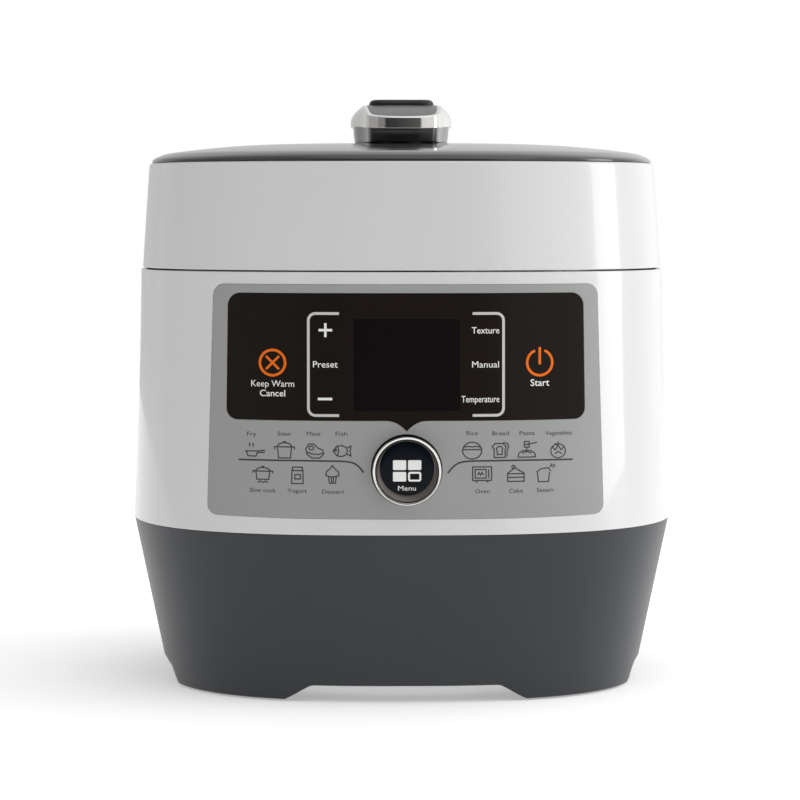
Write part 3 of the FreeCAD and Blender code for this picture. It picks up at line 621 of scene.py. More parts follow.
def rod_data(r, axis, a, b, c0, c1, m=96):
    """Closed cylinder along x, y or z between c0 and c1 at the two other coordinates a, b."""
    verts = []
    for i in range(m):
        t = 2 * math.pi * i / m
        p, q = a + r * math.cos(t), b + r * math.sin(t)
        for c in (c0, c1):
            verts.append({"x": (c, p, q), "y": (p, c, q), "z": (p, q, c)}[axis])
    faces = [(2 * i, 2 * ((i + 1) % m), 2 * ((i + 1) % m) + 1, 2 * i + 1) for i in range(m)]
    faces += [tuple(2 * i for i in range(m)), tuple(2 * i + 1 for i in reversed(range(m)))]
    return verts, faces


# -------------------------------------------------------------- panel outlines
def fascia_outline(g=0.0):
    p = [(-104.8 - g, 229.3 + g), (-108.5 - g, 103.6 - g), (-60.0, 102.95 - g), (0.0, 102.75 - g), (60.0, 102.95 - g),
         (108.5 + g, 103.6 - g), (104.8 + g, 229.3 + g)]
    return fillet(p, [6.5, 5.5, 0, 0, 0, 5.5, 6.5], 8)


def glass_outline(g=0.0):
    bottom = 155.9 - g
    notch = []
    for i in range(13):
        w = i / 12.0
        x = -(11.0 + g) * (1 - w)
        notch.append((x, bottom - (5.6 + 0.4 * g) * w ** 2.1))
    p = [(-96.7 - g, 224.6 + g), (-97.7 - g, bottom)] + notch + [(-q[0], q[1]) for q in reversed(notch[:-1])] + [(97.7 + g, bottom), (96.7 + g, 224.6 + g)]
    r = [7.0, 6.0] + [0] * 25 + [6.0, 7.0]
    return fillet(p, r, 8)


# ------------------------------------------------------------------ body shell
prof = dense(a_body, 94.5, 235.4, 4.0)
prof = [(a_body(94) - 0.55, 94.0), (a_body(94) - 0.16, 94.12)] + prof + [(a_body(236) - 0.18, 235.85), (a_body(236) - 0.6, 236.0)]
prof += [(147.9, 236.0), (147.5, 235.6)] + [(a - 3.0, z) for a, z in reversed(dense(a_body, 104.0, 230.0, 14.0))] + [(152.2, 94.4), (152.6, 94.0)]
shell = build("body_shell_skin", *sweep(prof), WHITE, "base", "body_shell")
boolean(shell, rod_data(19.6, "y", 0.0, DIAL_Z, -170.0, -120.0))
boolean(shell, plate(resample(fascia_outline(0.12), 4.0), [], front, 4.0, -1.7, 0.0, 6.0))
boolean(shell, box_data(-29.6, 29.6, -170.0, -100.0, 160.6, 211.2))
boolean(shell, box_data(-33.2, 33.2, 143.0, 160.0, 229.3, 240.0))
finish_mesh(shell, 32, se_normal(PB, 0.0))

# ------------------------------------------------------------------- lid shell
prof = [(147.0, 236.8), (a_lid(236.8) - 0.5, 236.8), (a_lid(236.8) - 0.13, 236.95)] + dense(a_lid, 237.4, 294.7, 3.2)
prof += [(a_lid(295.2) - 0.12, 295.25), (a_lid(295.6) - 0.42, 295.66), (a_lid(295.9) - 1.1, 295.9), (137.4, 295.9), (137.0, 295.5), (137.0, 292.9)]
prof += [(142.7, 292.9)] + [(a - 3.0, z) for a, z in reversed(dense(a_lid, 243.0, 284.0, 8.0))] + [(146.6, 237.1)]
lid = build("lid_shell_skin", *sweep(prof), WHITE, "lid", "lid_shell")
boolean(lid, rod_data(7.8, "x", 152.0, 237.0, -33.2, 33.2, 64))
for s in (-1, 1):
    boolean(lid, box_data(min(s * 18.1, s * 32.4), max(s * 18.1, s * 32.4), 140.0, 160.0, 235.0, 247.3))
finish_mesh(lid, 32, se_normal(PL, 0.0))

# ------------------------------------------------------------------ dome cover
dz = np.array([p[0] for p in DOME])
da = np.array([p[1] for p in DOME])


def pchip(xs, ys, x):
    xs, ys = np.asarray(xs, float), np.asarray(ys, float)
    h = np.diff(xs)
    dl = np.diff(ys) / h
    m = np.zeros(len(xs))
    m[0], m[-1] = dl[0], dl[-1]
    for i in range(1, len(xs) - 1):
        if dl[i - 1] * dl[i] > 0:
            w1, w2 = 2 * h[i] + h[i - 1], h[i] + 2 * h[i - 1]
            m[i] = (w1 + w2) / (w1 / dl[i - 1] + w2 / dl[i])
    i = int(np.clip(np.searchsorted(xs, x) - 1, 0, len(xs) - 2))
    t = (x - xs[i]) / h[i]
    return float((2 * t ** 3 - 3 * t ** 2 + 1) * ys[i] + (t ** 3 - 2 * t ** 2 + t) * h[i] * m[i] + (-2 * t ** 3 + 3 * t ** 2) * ys[i + 1] + (t ** 3 - t ** 2) * h[i] * m[i + 1])


run = np.concatenate([[0], np.cumsum(np.hypot(np.diff(dz), np.diff(da)))])
prof = []
for i in range(61):
    s = run[-1] * (i / 60.0) ** 1.3
    prof.append((pchip(run, da, s), pchip(run, dz, s), N))
for i in range(1, 13):
    w = i / 12.0
    prof.append((58.0 + (27.3 - 58.0) * w, 307.1, N + (2.0 - N) * min(1.0, w * 1.2)))
prof += [(27.2, 304.6, 2.0), (58.0, 304.6, N), (95.0, 303.4, N), (118.0, 301.2, N), (131.0, 299.2, N), (137.6, 296.6, N), (138.0, 296.0, N),
         (143.6, 296.0, N), (144.1, 296.3, N)]
build("dome_cover_skin", *sweep(prof), DOMEM, "lid", "dome_cover", angle=40)


# ---------------------------------------------------------------- base housing
def arch(x, y, z):
    """Lifts the lower edge of the skirt into the arches between the legs."""
    if z > 14.0:
        return z
    h = 0.0
    for c in (abs(x), abs(y)):
        if c < 66.5:
            w = min(1.0, (66.5 - c) / 17.0)
            w = w * w * (3 - 2 * w)
            w = 0.35 * w + 0.65 * min(1.0, (66.5 - c) / 14.5) ** 0.9
            w = min(1.0, w)
            h = max(h, 8.2 * w)
    k = max(0.0, min(1.0, (14.0 - z) / 13.0))
    return z + h * k


prof = [(a_base(1.0) - 1.0, 1.0), (a_base(1.0) - 0.4, 1.12), (a_base(1.5) - 0.08, 1.5)] + dense(a_base, 2.0, 14.0, 1.5) + dense(a_base, 17.0, 93.4, 4.5)
prof += [(a_base(94) - 0.12, 93.85), (a_base(94) - 0.5, 94.0), (151.9, 94.0), (151.9, 98.0), (150.4, 98.0), (150.2, 90.0), (a_base(88.0) - 2.8, 89.9)]
prof += [(a - 2.8, z) for a, z in reversed(dense(a_base, 19.0, 84.0, 13.0))]
prof += [(a_base(16.8) - 2.8, 16.8), (106.0, 16.8), (106.0, 14.0), (a_base(14) - 2.8, 14.0), (a_base(8) - 2.8, 8.0), (a_base(1) - 2.4, 1.0)]
prof = [(p[0], p[1], 2.0 if p[0] == 106.0 else N) for p in prof]
base = build("base_housing_skin", *sweep(prof, 480, arch), DARK, "base", "base_housing", angle=38)
for s1 in (-1, 1):
    for s2 in (-1, 1):
        v, f = rod_data(13.0, "z", 88.0 * s1, 88.0 * s2, 4.0, 14.5, 64)
        me = bpy.data.meshes.new("foot_boss")
        bo = build("foot_boss_%d%d" % (s1 + 1, s2 + 1), v, f, DARK, "base", slot="base_dark")
pad = fillet([(-23, 27.0), (23, 27.0), (23, 61.0), (-23, 61.0)], [4, 4, 4, 4], 6)
boolean(base, box_data(-22.0, 22.0, 120.0, 170.0, 28.0, 60.0))
finish_mesh(base, 38, se_normal(PS, 0.0))
hole = fillet([(-14.1, 33.7), (14.1, 33.7), (14.1, 54.3), (-14.1, 54.3)], [0.6] * 4, 3)
build("inlet_surround", *plate(resample(pad, 3.0), [hole], lambda u, v, d: (u, d, v), 147.0, 136.5, 0.8, 0, 3), DARK, "base", slot="base_dark")

# --------------------------------------------------------------- front panel
fas = resample(fascia_outline(0.0), 1.5)
glo = resample(glass_outline(0.0), 1.2)
gwin = resample(glass_outline(0.07), 1.2)
dial_hole = circle(0.0, DIAL_Z, 19.3, 96)
build("fascia_panel_skin", *plate(fas, [gwin, dial_hole], front, 0.35, -1.6, 0.22, 2.6), GREY, "base", "fascia_panel", angle=30, normals=se_normal(PB, 0.35))
scr = fillet([(-28.6, 161.2), (28.6, 161.2), (28.6, 210.7), (-28.6, 210.7)], [0.8] * 4, 3)
scr = resample(scr, 1.5)
scr_hole = inset(scr, -0.02)
build("glass_overlay_skin", *plate(glo, [scr_hole], front, 0.42, -1.6, 0.25, 2.6), GLASS, "base", "glass_overlay", angle=30, normals=se_normal(PB, 0.42))
build("display_window", *plate(scr, [], front, 0.40, -1.6, 0.0, 2.6), SCREEN, "base", slot="panel_black", angle=30, normals=se_normal(PB, 0.40))

T0, T1 = 0.40, 0.47      # raised ink on the glass
F0, F1 = 0.33, 0.40      # raised ink on the fascia


def ink(name, parts, mat, slot="panel_black", body="base"):
    return build(name, *join(parts), mat, body, slot=slot, angle=50)


def arc_path(points, radii, seg=6):
    """Open path with rounded inner corners."""
    ring = fillet(points, radii, seg)
    return ring


def bracket(side):
    s = side
    p = []
    x0, x1 = (36.45 if s < 0 else 35.65), (53.0 if s < 0 else 52.45)
    pts = [(s * x0, 213.7), (s * x1, 213.7), (s * x1, 158.7), (s * x0, 158.7)]
    ring = fillet(pts, [0, 3.8, 3.8, 0], 8)
    return ribbon(ring, 1.45, front, T1, T0)


ink("bracket_left", [bracket(-1)], INK_B)
ink("bracket_right", [bracket(1)], INK_B)
w = 1.35
ink("plus_symbol", [ribbon([(-47.5, 204.75), (-40.1, 204.75)], w, front, T1, T0), ribbon([(-43.8, 201.0), (-43.8, 204.0)], w, front, T1, T0),
                    ribbon([(-43.8, 205.5), (-43.8, 208.5)], w, front, T1, T0)], INK_W)
ink("minus_symbol", [ribbon([(-47.9, 167.6), (-40.1, 167.6)], w, front, T1, T0)], INK_W)
cx, cz = -72.44, 187.0
k = 3.55
ink("cancel_symbol", [ribbon(circle(cx, cz, 6.85, 64), 1.4, front, T1, T0, True),
                      ribbon([(cx - k, cz - k), (cx + k, cz + k)], 1.3, front, T1 + 0.01, T0),
                      ribbon([(cx - k, cz + k), (cx + k, cz - k)], 1.3, front, T1, T0)], INK_O)
cx = 72.35
ink("start_symbol", [ribbon(circle(cx, 186.95, 6.95, 64, 112, 428), 1.4, front, T1, T0), ribbon([(cx, 195.3), (cx, 185.9)], 1.4, front, T1, T0)], INK_O)


def words(name, text, x, z, height, mat, place, top, bottom, width=None, align="CENTER", bold=0.0, body="base", slot="panel_black"):
    """Short function word as thin raised ink; height is that of a capital letter."""
    cu = bpy.data.curves.new(name, "FONT")
    cu.body = text
    cu.align_x = align
    cu.size = 1.0
    cu.extrude = 0.5
    cu.offset = 0.0 if set(text) & set("MWVN") else bold  # an offset fills in the corners of these letters
    cu.resolution_u = 3
    tmp = bpy.data.objects.new(name + "_tmp", cu)
    bpy.context.scene.collection.objects.link(tmp)
    dg = bpy.context.evaluated_depsgraph_get()
    me = bpy.data.meshes.new_from_object(tmp.evaluated_get(dg))
    bpy.data.objects.remove(tmp)
    co = [tuple(v.co) for v in me.vertices]
    fs = [tuple(p.vertices) for p in me.polygons]
    bpy.data.meshes.remove(me)
    xs = [c[0] for c in co]
    w0 = max(xs) - min(xs)
    sx = sy = height / 0.72
    if width:
        sx = width / w0
    verts = [place(x + c[0] * sx, z + (c[1] - 0.36) * sy, bottom + (top - bottom) * (c[2] + 0.5)) for c in co]
    import bmesh
    ob = build(name, verts, fs, mat, body, slot=slot, angle=50)
    bm = bmesh.new()
    bm.from_mesh(ob.data)
    bmesh.ops.remove_doubles(bm, verts=bm.verts, dist=1e-7)
    bmesh.ops.recalc_face_normals(bm, faces=bm.faces)
    bm.to_mesh(ob.data)
    bm.free()
    ob.data.set_sharp_from_angle(angle=math.radians(50))
    return ob


words("word_preset", "Preset", -44.0, 186.4, 3.6, INK_W, front, T1, T0, 13.4, bold=0.004)
words("word_texture", "Texture", 50.3, 204.7, 3.6, INK_W, front, T1, T0, 15.0, "RIGHT", 0.004)
words("word_manual", "Manual", 50.3, 186.3, 3.6, INK_W, front, T1, T0, 14.6, "RIGHT", 0.004)
words("word_temperature", "Temperature", 50.3, 167.6, 3.6, INK_W, front, T1, T0, 20.6, "RIGHT", 0.004)
words("word_keep_warm", "Keep Warm", -72.4, 175.8, 3.6, INK_W, front, T1, T0, 23.4, bold=0.008)
words("word_cancel", "Cancel", -72.4, 170.6, 3.6, INK_W, front, T1, T0, 13.8, bold=0.008)
words("word_start", "Start", 72.35, 176.2, 3.8, INK_W, front, T1, T0, 10.4, bold=0.008)

ink("divider_left", [ribbon([(-91.0, 134.1), (-60, 134.2), (-36.0, 134.1), (-31.5, 133.8), (-28.9, 133.2), (-27.0, 132.2), (-25.0, 130.3), (-23.3, 128.0)], 0.85, front, F1, F0)], INK_D, "fascia_grey")
ink("divider_right", [ribbon([(90.8, 133.9), (60, 134.2), (36.0, 134.1), (31.0, 133.8), (28.4, 133.2), (26.4, 132.1), (24.2, 130.1), (22.2, 127.6)], 0.85, front, F1, F0)], INK_D, "fascia_grey")


def icon(name, x, z, strokes, width=0.62, s=0.54):
    parts = []
    for st in strokes:
        closed = st[0] == "c"
        pts = [(x + u * s, z - v * s) for u, v in st[1:]]
        parts.append(ribbon(pts, width, front, F1, F0, closed, 0.8))
    ink(name, parts, INK_D, "fascia_grey")


def ell(cx, cy, rx, ry, a0=0, a1=360, n=28):
    return [(cx + rx * math.cos(math.radians(a0 + (a1 - a0) * i / n)), cy + ry * math.sin(math.radians(a0 + (a1 - a0) * i / n)))
            for i in range(n if a1 - a0 >= 360 else n + 1)]


icon("icon_pan", -82.6, 138.9, [("o", (-9, 0), (3, 0), (11, -1)), ("o", (-8, 0), (-6, 5), (2, 5), (4, 0)), ("o", (3, 1.6), (11, 1.0)),
                                ("o", (-5, -4.5), (-4, -6.5), (-5, -8)), ("o", (-1.5, -4.5), (-0.5, -6.5), (-1.5, -8))])
icon("icon_pot", -66.0, 139.6, [("o", (-7, -3), (-6, 7.5), (6, 7.5), (7, -3)), ("o", (-10, -1), (-10, -3.5), (10, -3.5), (10, -1)),
                                ("o", *ell(0, -3.5, 7.2, 4.2, 180, 360)), ("o", (-1.5, -8.6), (1.5, -8.6))])
icon("icon_meat", -49.6, 139.5, [("c", (-9, -2), (-6, -7), (-1, -7), (3, -3), (8, -1), (9, 3), (5, 7), (-3, 7), (-8, 3)), ("c", *ell(-3.4, -3, 2.4, 2.0)),
                                 ("o", (-8, 1), (-3, 3), (4, 3.4), (8, 2))])
icon("icon_fish", -34.9, 139.6, [("c", (-9, 0), (-5, -4.8), (0, -5.6), (5, -3), (9, -5), (8, 0), (9, 5), (5, 3), (0, 5.6), (-5, 4.8)),
                                 ("o", (-4.4, -4.6), (-3.2, 0), (-4.4, 4.6)), ("c", *ell(-6.3, -0.8, 0.9, 0.9, n=10)), ("o", (4.6, -2.6), (5.4, 0), (4.6, 2.6))])
icon("icon_bowl", 35.4, 139.7, [("c", *ell(0, 0, 9.6, 8.4)), ("o", (-9.4, -1), (9.4, -1)), ("o", (-8, -3.4), (-4, -4.4), (0, -3.6), (4, -4.4), (8, -3.4))])
icon("icon_bread", 50.6, 139.6, [("c", (-6, -1), (-8, -4), (-5, -7), (3, -7), (6, -4), (5, -1), (5, 7), (-6, 7)), ("c", (-3, 0), (-4, -2), (-2, -4), (1, -4), (2.5, -2), (2, 0), (2, 4), (-3, 4)),
                                 ("o", (3, -8), (7.5, -7), (8.5, -3), (7, 0), (7, 6.5))])
icon("icon_pasta", 65.2, 139.6, [("o", (-9, 7), (-8, 3), (-4, 0.5), (4, 0.5), (8, 3), (9, 7), (-9, 7)), ("o", (-5, 3), (0, 1.5), (5, 3)), ("c", (-2.4, -8.6), (2.4, -8.6), (2.4, -3), (-2.4, -3)),
                                 ("o", (2.4, -6), (10.5, -7.6)), ("o", (0, -3), (0, 0.5)), ("o", (-2.4, -5.8), (2.4, -5.8))])
icon("icon_vegetable", 82.6, 139.3, [("c", *ell(0, 1, 7.6, 7)), ("o", (-6, -3), (-3, 0), (0, -4.5), (3, 0), (6, -3)), ("o", (0, -4.5), (0, -8.6)), ("o", (-3.6, 4), (0, 1.5), (3.6, 4)), ("o", (-3, -6.8), (-1, -4.4))])
icon("icon_slow_pot", -77.8, 126.2, [("o", (-7, -3), (-6, 4.6), (6, 4.6), (7, -3)), ("o", (-10, -1.5), (-10, -3.6), (10, -3.6), (10, -1.5)), ("o", *ell(0, -3.6, 7.2, 3.6, 180, 360)),
                                     ("o", (-1.5, -8.2), (1.5, -8.2)), ("o", (-5, 8), (-3, 6.4), (0, 7.8), (3, 6.4), (5, 8))])
icon("icon_jar", -59.0, 126.1, [("c", (-5.5, -5), (5.5, -5), (5.8, 8), (-5.8, 8)), ("c", (-5, -8.4), (5, -8.4), (5, -5), (-5, -5)), ("o", (-2.6, -1), (3.0, -1), (3.0, 3.4), (-2.6, 3.4), (-2.6, -1))])
icon("icon_cupcake", -40.1, 126.8, [("o", (-4, 1.5), (-3, 8.6), (3, 8.6), (4, 1.5)), ("c", (-6.5, 1), (-6, -3), (-2.6, -5.6), (0, -9), (2.6, -5.6), (6, -3), (6.5, 1), (0, 2.4)), ("o", (-1.2, 2.2), (-0.8, 8.2)), ("o", (1.2, 2.2), (0.8, 8.2))])
icon("icon_oven", 40.8, 126.8, [("c", (-9.5, -7.5), (9.5, -7.5), (9.5, 6), (-9.5, 6)), ("c", (-7, -5), (4, -5), (4, 3.6), (-7, 3.6)), ("o", (6.6, -5), (6.6, 3.6)), ("o", (-6.5, 7.4), (-4.5, 7.4)), ("o", (4.5, 7.4), (6.5, 7.4)),
                                ("o", (-4.6, 0.6), (-3.2, -2), (-1.6, 0.6), (0, -2), (1.4, 0.6))])
icon("icon_cake", 59.2, 126.6, [("c", (-8.4, 7), (8.4, 7), (8.4, -1), (-1, -6.6), (-8.4, -1)), ("o", (-8.4, -0.6), (8.4, -0.6)), ("o", (-8.4, 3), (8.4, 3)), ("c", *ell(-2.5, -7.6, 1.6, 1.4, n=10))])
icon("icon_steam", 75.4, 126.3, [("o", (-8, -2), (-7, 7.4), (3.4, 7.4), (4.4, -2)), ("o", (-9, -2.4), (-4, -5.6), (3, -6.4), (5.8, -3)), ("o", (4.4, -7), (7, -9), (5.5, -10.5)), ("o", (7.6, -6.4), (9.6, -8.2), (8.6, -10))])
for nm, tx, x, z, wd in (("fry", "Fry", -84.0, 148.3, 5.2), ("stew", "Stew", -66.2, 148.7, 7.4), ("meat", "Meat", -50.3, 148.9, 7.6), ("fish", "Fish", -35.2, 149.0, 6.4),
                         ("rice", "Rice", 35.3, 149.2, 6.2), ("bread", "Bread", 50.8, 149.0, 9.0), ("pasta", "Pasta", 65.3, 148.9, 8.4), ("vegetables", "Vegetables", 83.0, 148.6, 15.0),
                         ("slow_cook", "Slow cook", -78.0, 117.9, 14.4), ("yogurt", "Yogurt", -59.2, 118.0, 10.6), ("dessert", "Dessert", -39.8, 117.7, 12.0),
                         ("oven", "Oven", 41.0, 117.8, 7.8), ("cake", "Cake", 59.3, 117.8, 7.6), ("steam", "Steam", 75.3, 117.9, 9.2)):
    words("label_" + nm, tx, x, z, 2.3, INK_D, front, F1, F0, wd, bold=0.0, slot="fascia_grey")

# ------------------------------------------------------------------------ dial
prof = fillet([(12.06, -151.5), (17.05, -151.5), (17.05, DIAL_FRONT + 0.5), (17.3, DIAL_FRONT + 0.05), (18.25, DIAL_FRONT), (18.6, DIAL_FRONT + 0.7), (18.6, -148.5), (12.06, -148.5)],
              [0, 0.4, 0.2, 0.25, 0.3, 0.4, 0.4, 0.3], 6)
build("dial_ring_skin", *lathe_mesh(prof, DIAL_Z, 192), CHROME, "dial_ring", "dial_ring", angle=40)


def dish(u, v, d):
    """Point on a plane facing the front at depth d; the menu button's raised rim, which slopes in to the recessed cap
    that sits a little high, is built below.
    """
    return (u, d, v)


band_o = circle(0.0, DIAL_Z, 16.65, 160)
cap_o = circle(0.0, DIAL_Z + 1.6, 14.75, 160)
verts, faces = [], []
rings = []


def add_ring(pts, ys):
    s = len(verts)
    for (u, v), y in zip(pts, ys):
        verts.append((u, y, v))
    rings.append(list(range(s, s + len(pts))))


n = 160
add_ring(circle(0.0, DIAL_Z, 9.0, n), [-156.6] * n)
add_ring(band_o, [-156.6] * n)
add_ring(band_o, [-161.55] * n)
add_ring(circle(0.0, DIAL_Z, 16.5, n), [-161.85] * n)
add_ring(circle(0.0, DIAL_Z, 16.2, n), [-161.95] * n)
for t in (0.25, 0.5, 0.75, 1.0):
    add_ring([(a[0] * (1 - t) + b[0] * t, a[1] * (1 - t) + b[1] * t) for a, b in zip(circle(0.0, DIAL_Z, 16.2, n), cap_o)], [-161.95 + 1.45 * math.sin(t * math.pi / 2)] * n)
add_ring([(p[0], p[1]) for p in cap_o], [-158.0] * n)
add_ring(circle(0.0, DIAL_Z, 9.0, n), [-158.0] * n)
for a, b in zip(rings, rings[1:] + rings[:1]):
    for i in range(n):
        j = (i + 1) % n
        faces.append((a[i], a[j], b[j], b[i]))
# The rim's dark brown tint is a painted reflection, not the colour of the part.
build("menu_button_rim", verts, faces, RIM_TINT_PAINTED_REFLECTION, "dial_button", "dial_button", slot="button_navy", angle=35)
cc = DIAL_Z + 1.6
prof = [(0.02, -160.72), (4.0, -160.71), (8.0, -160.68), (11.0, -160.63), (13.2, -160.56), (14.2, -160.46), (14.6, -160.25), (14.7, -159.9), (14.7, -158.0), (0.02, -158.0)]
build("menu_button_cap", *lathe_mesh(prof, cc, 160), NAVY, "dial_button", slot="button_navy", angle=45)
stem = fillet([(0.02, -158.0), (8.9, -158.0), (8.9, -143.4), (0.02, -143.4)], [0, 0, 0.6, 0], 4)
build("menu_button_stem", *lathe_mesh(stem, DIAL_Z, 64), INNER, "dial_button", slot="button_navy", angle=45)


def cap_face(x, z, d):
    return (x, -160.70 - d + 0.00085 * (x * x + (z - cc) ** 2), z)


def tile(x0, x1, z0, z1, r=0.55):
    return plate(resample(fillet([(x0, z0), (x1, z0), (x1, z1), (x0, z1)], [r] * 4, 4), 1.5), [], cap_face, 0.10, -0.05, 0.0, 2.5)


mx0, mx1, mx2, mx3 = -7.55, -0.45, 0.55, 7.7
mz0, mz1, mz2, mz3 = DIAL_Z - 5.55, DIAL_Z - 0.4, DIAL_Z + 0.65, DIAL_Z + 5.9
ink("menu_tiles", [tile(mx0, mx1, mz2, mz3), tile(mx2, mx3, mz2, mz3), tile(mx0, mx1, mz0, mz1),
                   ribbon(fillet([(mx2 + 0.55, mz0 + 0.5), (mx3 - 0.55, mz0 + 0.5), (mx3 - 0.55, mz1 - 0.45), (mx2 + 0.55, mz1 - 0.45)], [0.7] * 4, 4), 1.05, cap_face, 0.10, -0.05, True)],
    INK_W, "button_navy", "dial_button")
words("word_menu", "Menu", 0.0, DIAL_Z - 9.1, 2.7, INK_W, cap_face, 0.10, -0.05, 9.6, bold=0.02, body="dial_button", slot="button_navy")

# ---------------------------------------------------------------------- handle
O_TRIM = [(0, 29.3), (10, 29.1), (20, 28.3), (30, 26.7), (40, 24.7), (50, 22.9), (60, 21.7), (67, 20.9), (72.0, 19.2), (75.0, 15.6), (76.6, 10.6), (77.3, 5.2), (77.5, 0)]
O_TOP = [(0, 21.0), (10, 21.0), (20, 21.0), (30, 20.9), (40, 20.7), (50, 20.3), (60, 19.8), (67, 19.1), (71.2, 17.6), (73.9, 14.2), (75.4, 9.7), (76.1, 4.9), (76.3, 0)]
O_BODY = [(0, 27.7), (10, 27.5), (20, 26.9), (30, 25.4), (40, 23.5), (50, 21.8), (60, 20.5), (67, 19.6), (71.6, 18.0), (74.3, 14.6), (75.7, 10.0), (76.3, 5.0), (76.5, 0)]
O_IN = [(0, 20.0), (10, 20.0), (20, 20.0), (30, 19.9), (40, 19.7), (50, 19.3), (60, 18.7), (66.5, 17.9), (70.4, 16.4), (72.9, 13.2), (74.3, 9.1), (75.0, 4.6), (75.2, 0)]


def outline(table, per=8):
    """Smooth closed outline, symmetric in x and y; points correspond between tables."""
    q = [(w, y) for y, w in table]
    pts = q + [(-p[0], p[1]) for p in reversed(q[:-1])]
    pts = pts + [(p[0], -p[1]) for p in reversed(pts[1:-1])]
    out = []
    n = len(pts)
    for i in range(n):
        p0, p1, p2, p3 = (np.array(pts[(i + k - 1) % n]) for k in range(4))
        d0, d1, d2 = (max(1e-6, float(np.linalg.norm(b - a))) ** 0.5 for a, b in ((p0, p1), (p1, p2), (p2, p3)))
        m1 = d1 * ((p1 - p0) / d0 - (p2 - p0) / (d0 + d1) + (p2 - p1) / d1)
        m2 = d1 * ((p2 - p1) / d1 - (p3 - p1) / (d1 + d2) + (p3 - p2) / d2)
        for k in range(per):
            t = k / per
            out.append(tuple((2 * t ** 3 - 3 * t ** 2 + 1) * p1 + (t ** 3 - 2 * t ** 2 + t) * m1 + (-2 * t ** 3 + 3 * t ** 2) * p2 + (t ** 3 - t ** 2) * m2))
    return out


Z_TRIM_LO = [(0, 317.2), (20, 317.1), (40, 316.6), (60, 315.8), (80, 314.7)]
Z_TRIM_HI = [(0, 329.8), (20, 329.6), (40, 328.0), (60, 325.0), (80, 320.9)]
Z_INS_HI = [(0, 330.3), (20, 330.1), (40, 328.1), (60, 324.9), (80, 320.6)]


def zc(table, y):
    y = abs(y)
    k = [(-p[0], p[1]) for p in reversed(table[1:])] + list(table)
    return pchip([p[0] for p in k], [p[1] for p in k], y)


LO, TP, BO, IN = outline(O_TRIM), outline(O_TOP), outline(O_BODY), outline(O_IN)
n = len(LO)
verts, faces = [], []
K = 20
for i in range(n):
    (x0, y0), (x1, y1), (xi, yi) = LO[i], TP[i], IN[i]
    zl, zh = zc(Z_TRIM_LO, y0), zc(Z_TRIM_HI, y0)
    sec = []
    for k in range(K - 4):
        z = zl + 0.25 + (zh - 0.45 - zl - 0.25) * k / (K - 5)
        f = max(0.0, (z - 320.4) / 10.0) ** 1.9
        sec.append((x0 + (x1 - x0) * f, y0 + (y1 - y0) * f, z))
    f = max(0.0, (zh - 320.4) / 10.0) ** 1.9
    tx, ty = x0 + (x1 - x0) * f, y0 + (y1 - y0) * f
    lx, ly = xi - tx, yi - ty
    ll = math.hypot(lx, ly) or 1.0
    sec.append((tx + lx / ll * 0.14, ty + ly / ll * 0.14, zh - 0.16))
    sec.append((tx + lx / ll * 0.45, ty + ly / ll * 0.45, zh - 0.02))
    zi = zc(Z_TRIM_HI, yi)
    sec.append((xi - lx / ll * 0.25, yi - ly / ll * 0.25, zi))
    sec.append((xi, yi, zi - 0.2))
    sec.append((xi, yi, zl))
    sec.append((x0 + lx / ll * 0.25, y0 + ly / ll * 0.25, zl))
    verts += sec
K = len(sec)
for i in range(n):
    j = (i + 1) % n
    for q in range(K):
        r = (q + 1) % K
        faces.append((i * K + q, j * K + q, j * K + r, i * K + r))
build("handle_trim_skin", verts, faces, CHROME, "lock_rotor", "handle_trim", angle=45)

verts, faces = [], []
for i in range(n):
    x0, y0 = BO[i]
    xi, yi = IN[i]
    zl = zc(Z_TRIM_LO, y0)
    sec = []
    lx, ly = -x0, -y0
    ll = math.hypot(lx, ly)
    for k in range(10):
        w = k / 9.0
        z = 308.1 + (zl - 308.1) * w
        g = 0.9 * (1 - w) ** 1.6
        sec.append((x0 + lx / ll * g, y0 + ly / ll * g, z))
    sec.append((xi * 0.9, yi * 0.97, zl))
    sec.append((xi * 0.9, yi * 0.97, 307.6))
    sec.append((x0 + lx / ll * 1.5, y0 + ly / ll * 1.5, 307.6))
    sec.append((x0 + lx / ll * 1.1, y0 + ly / ll * 1.1, 307.75))
    verts += sec
K = len(sec)
for i in range(n):
    j = (i + 1) % n
    for q in range(K):
        r = (q + 1) % K
        faces.append((i * K + q, j * K + q, j * K + r, i * K + r))
build("handle_body_skin", verts, faces, HBLACK, "lock_rotor", "handle_body", angle=40)

btn = resample(fillet([(-18.6, -23.7), (18.6, -23.7), (18.6, 23.7), (-18.6, 23.7)], [7.7] * 4, 10), 2.0)
pocket = resample(fillet([(-18.9, -24.0), (18.9, -24.0), (18.9, 24.0), (-18.9, 24.0)], [8.0] * 4, 10), 2.0)
in_loop = inset(IN, 0.06)


def ins_top(u, v, d):
    crown = 0.35 * min(1.0, (u / 20.0) ** 2)
    return (u, v, zc(Z_INS_HI, v) - crown + d)


build("handle_insert_skin", *plate(in_loop, [pocket], ins_top, 0.0, -3.0, 0.3, 2.2, 3), HINS, "lock_rotor", "handle_insert", angle=35)


def flat(u, v, d):
    return (u, v, d)


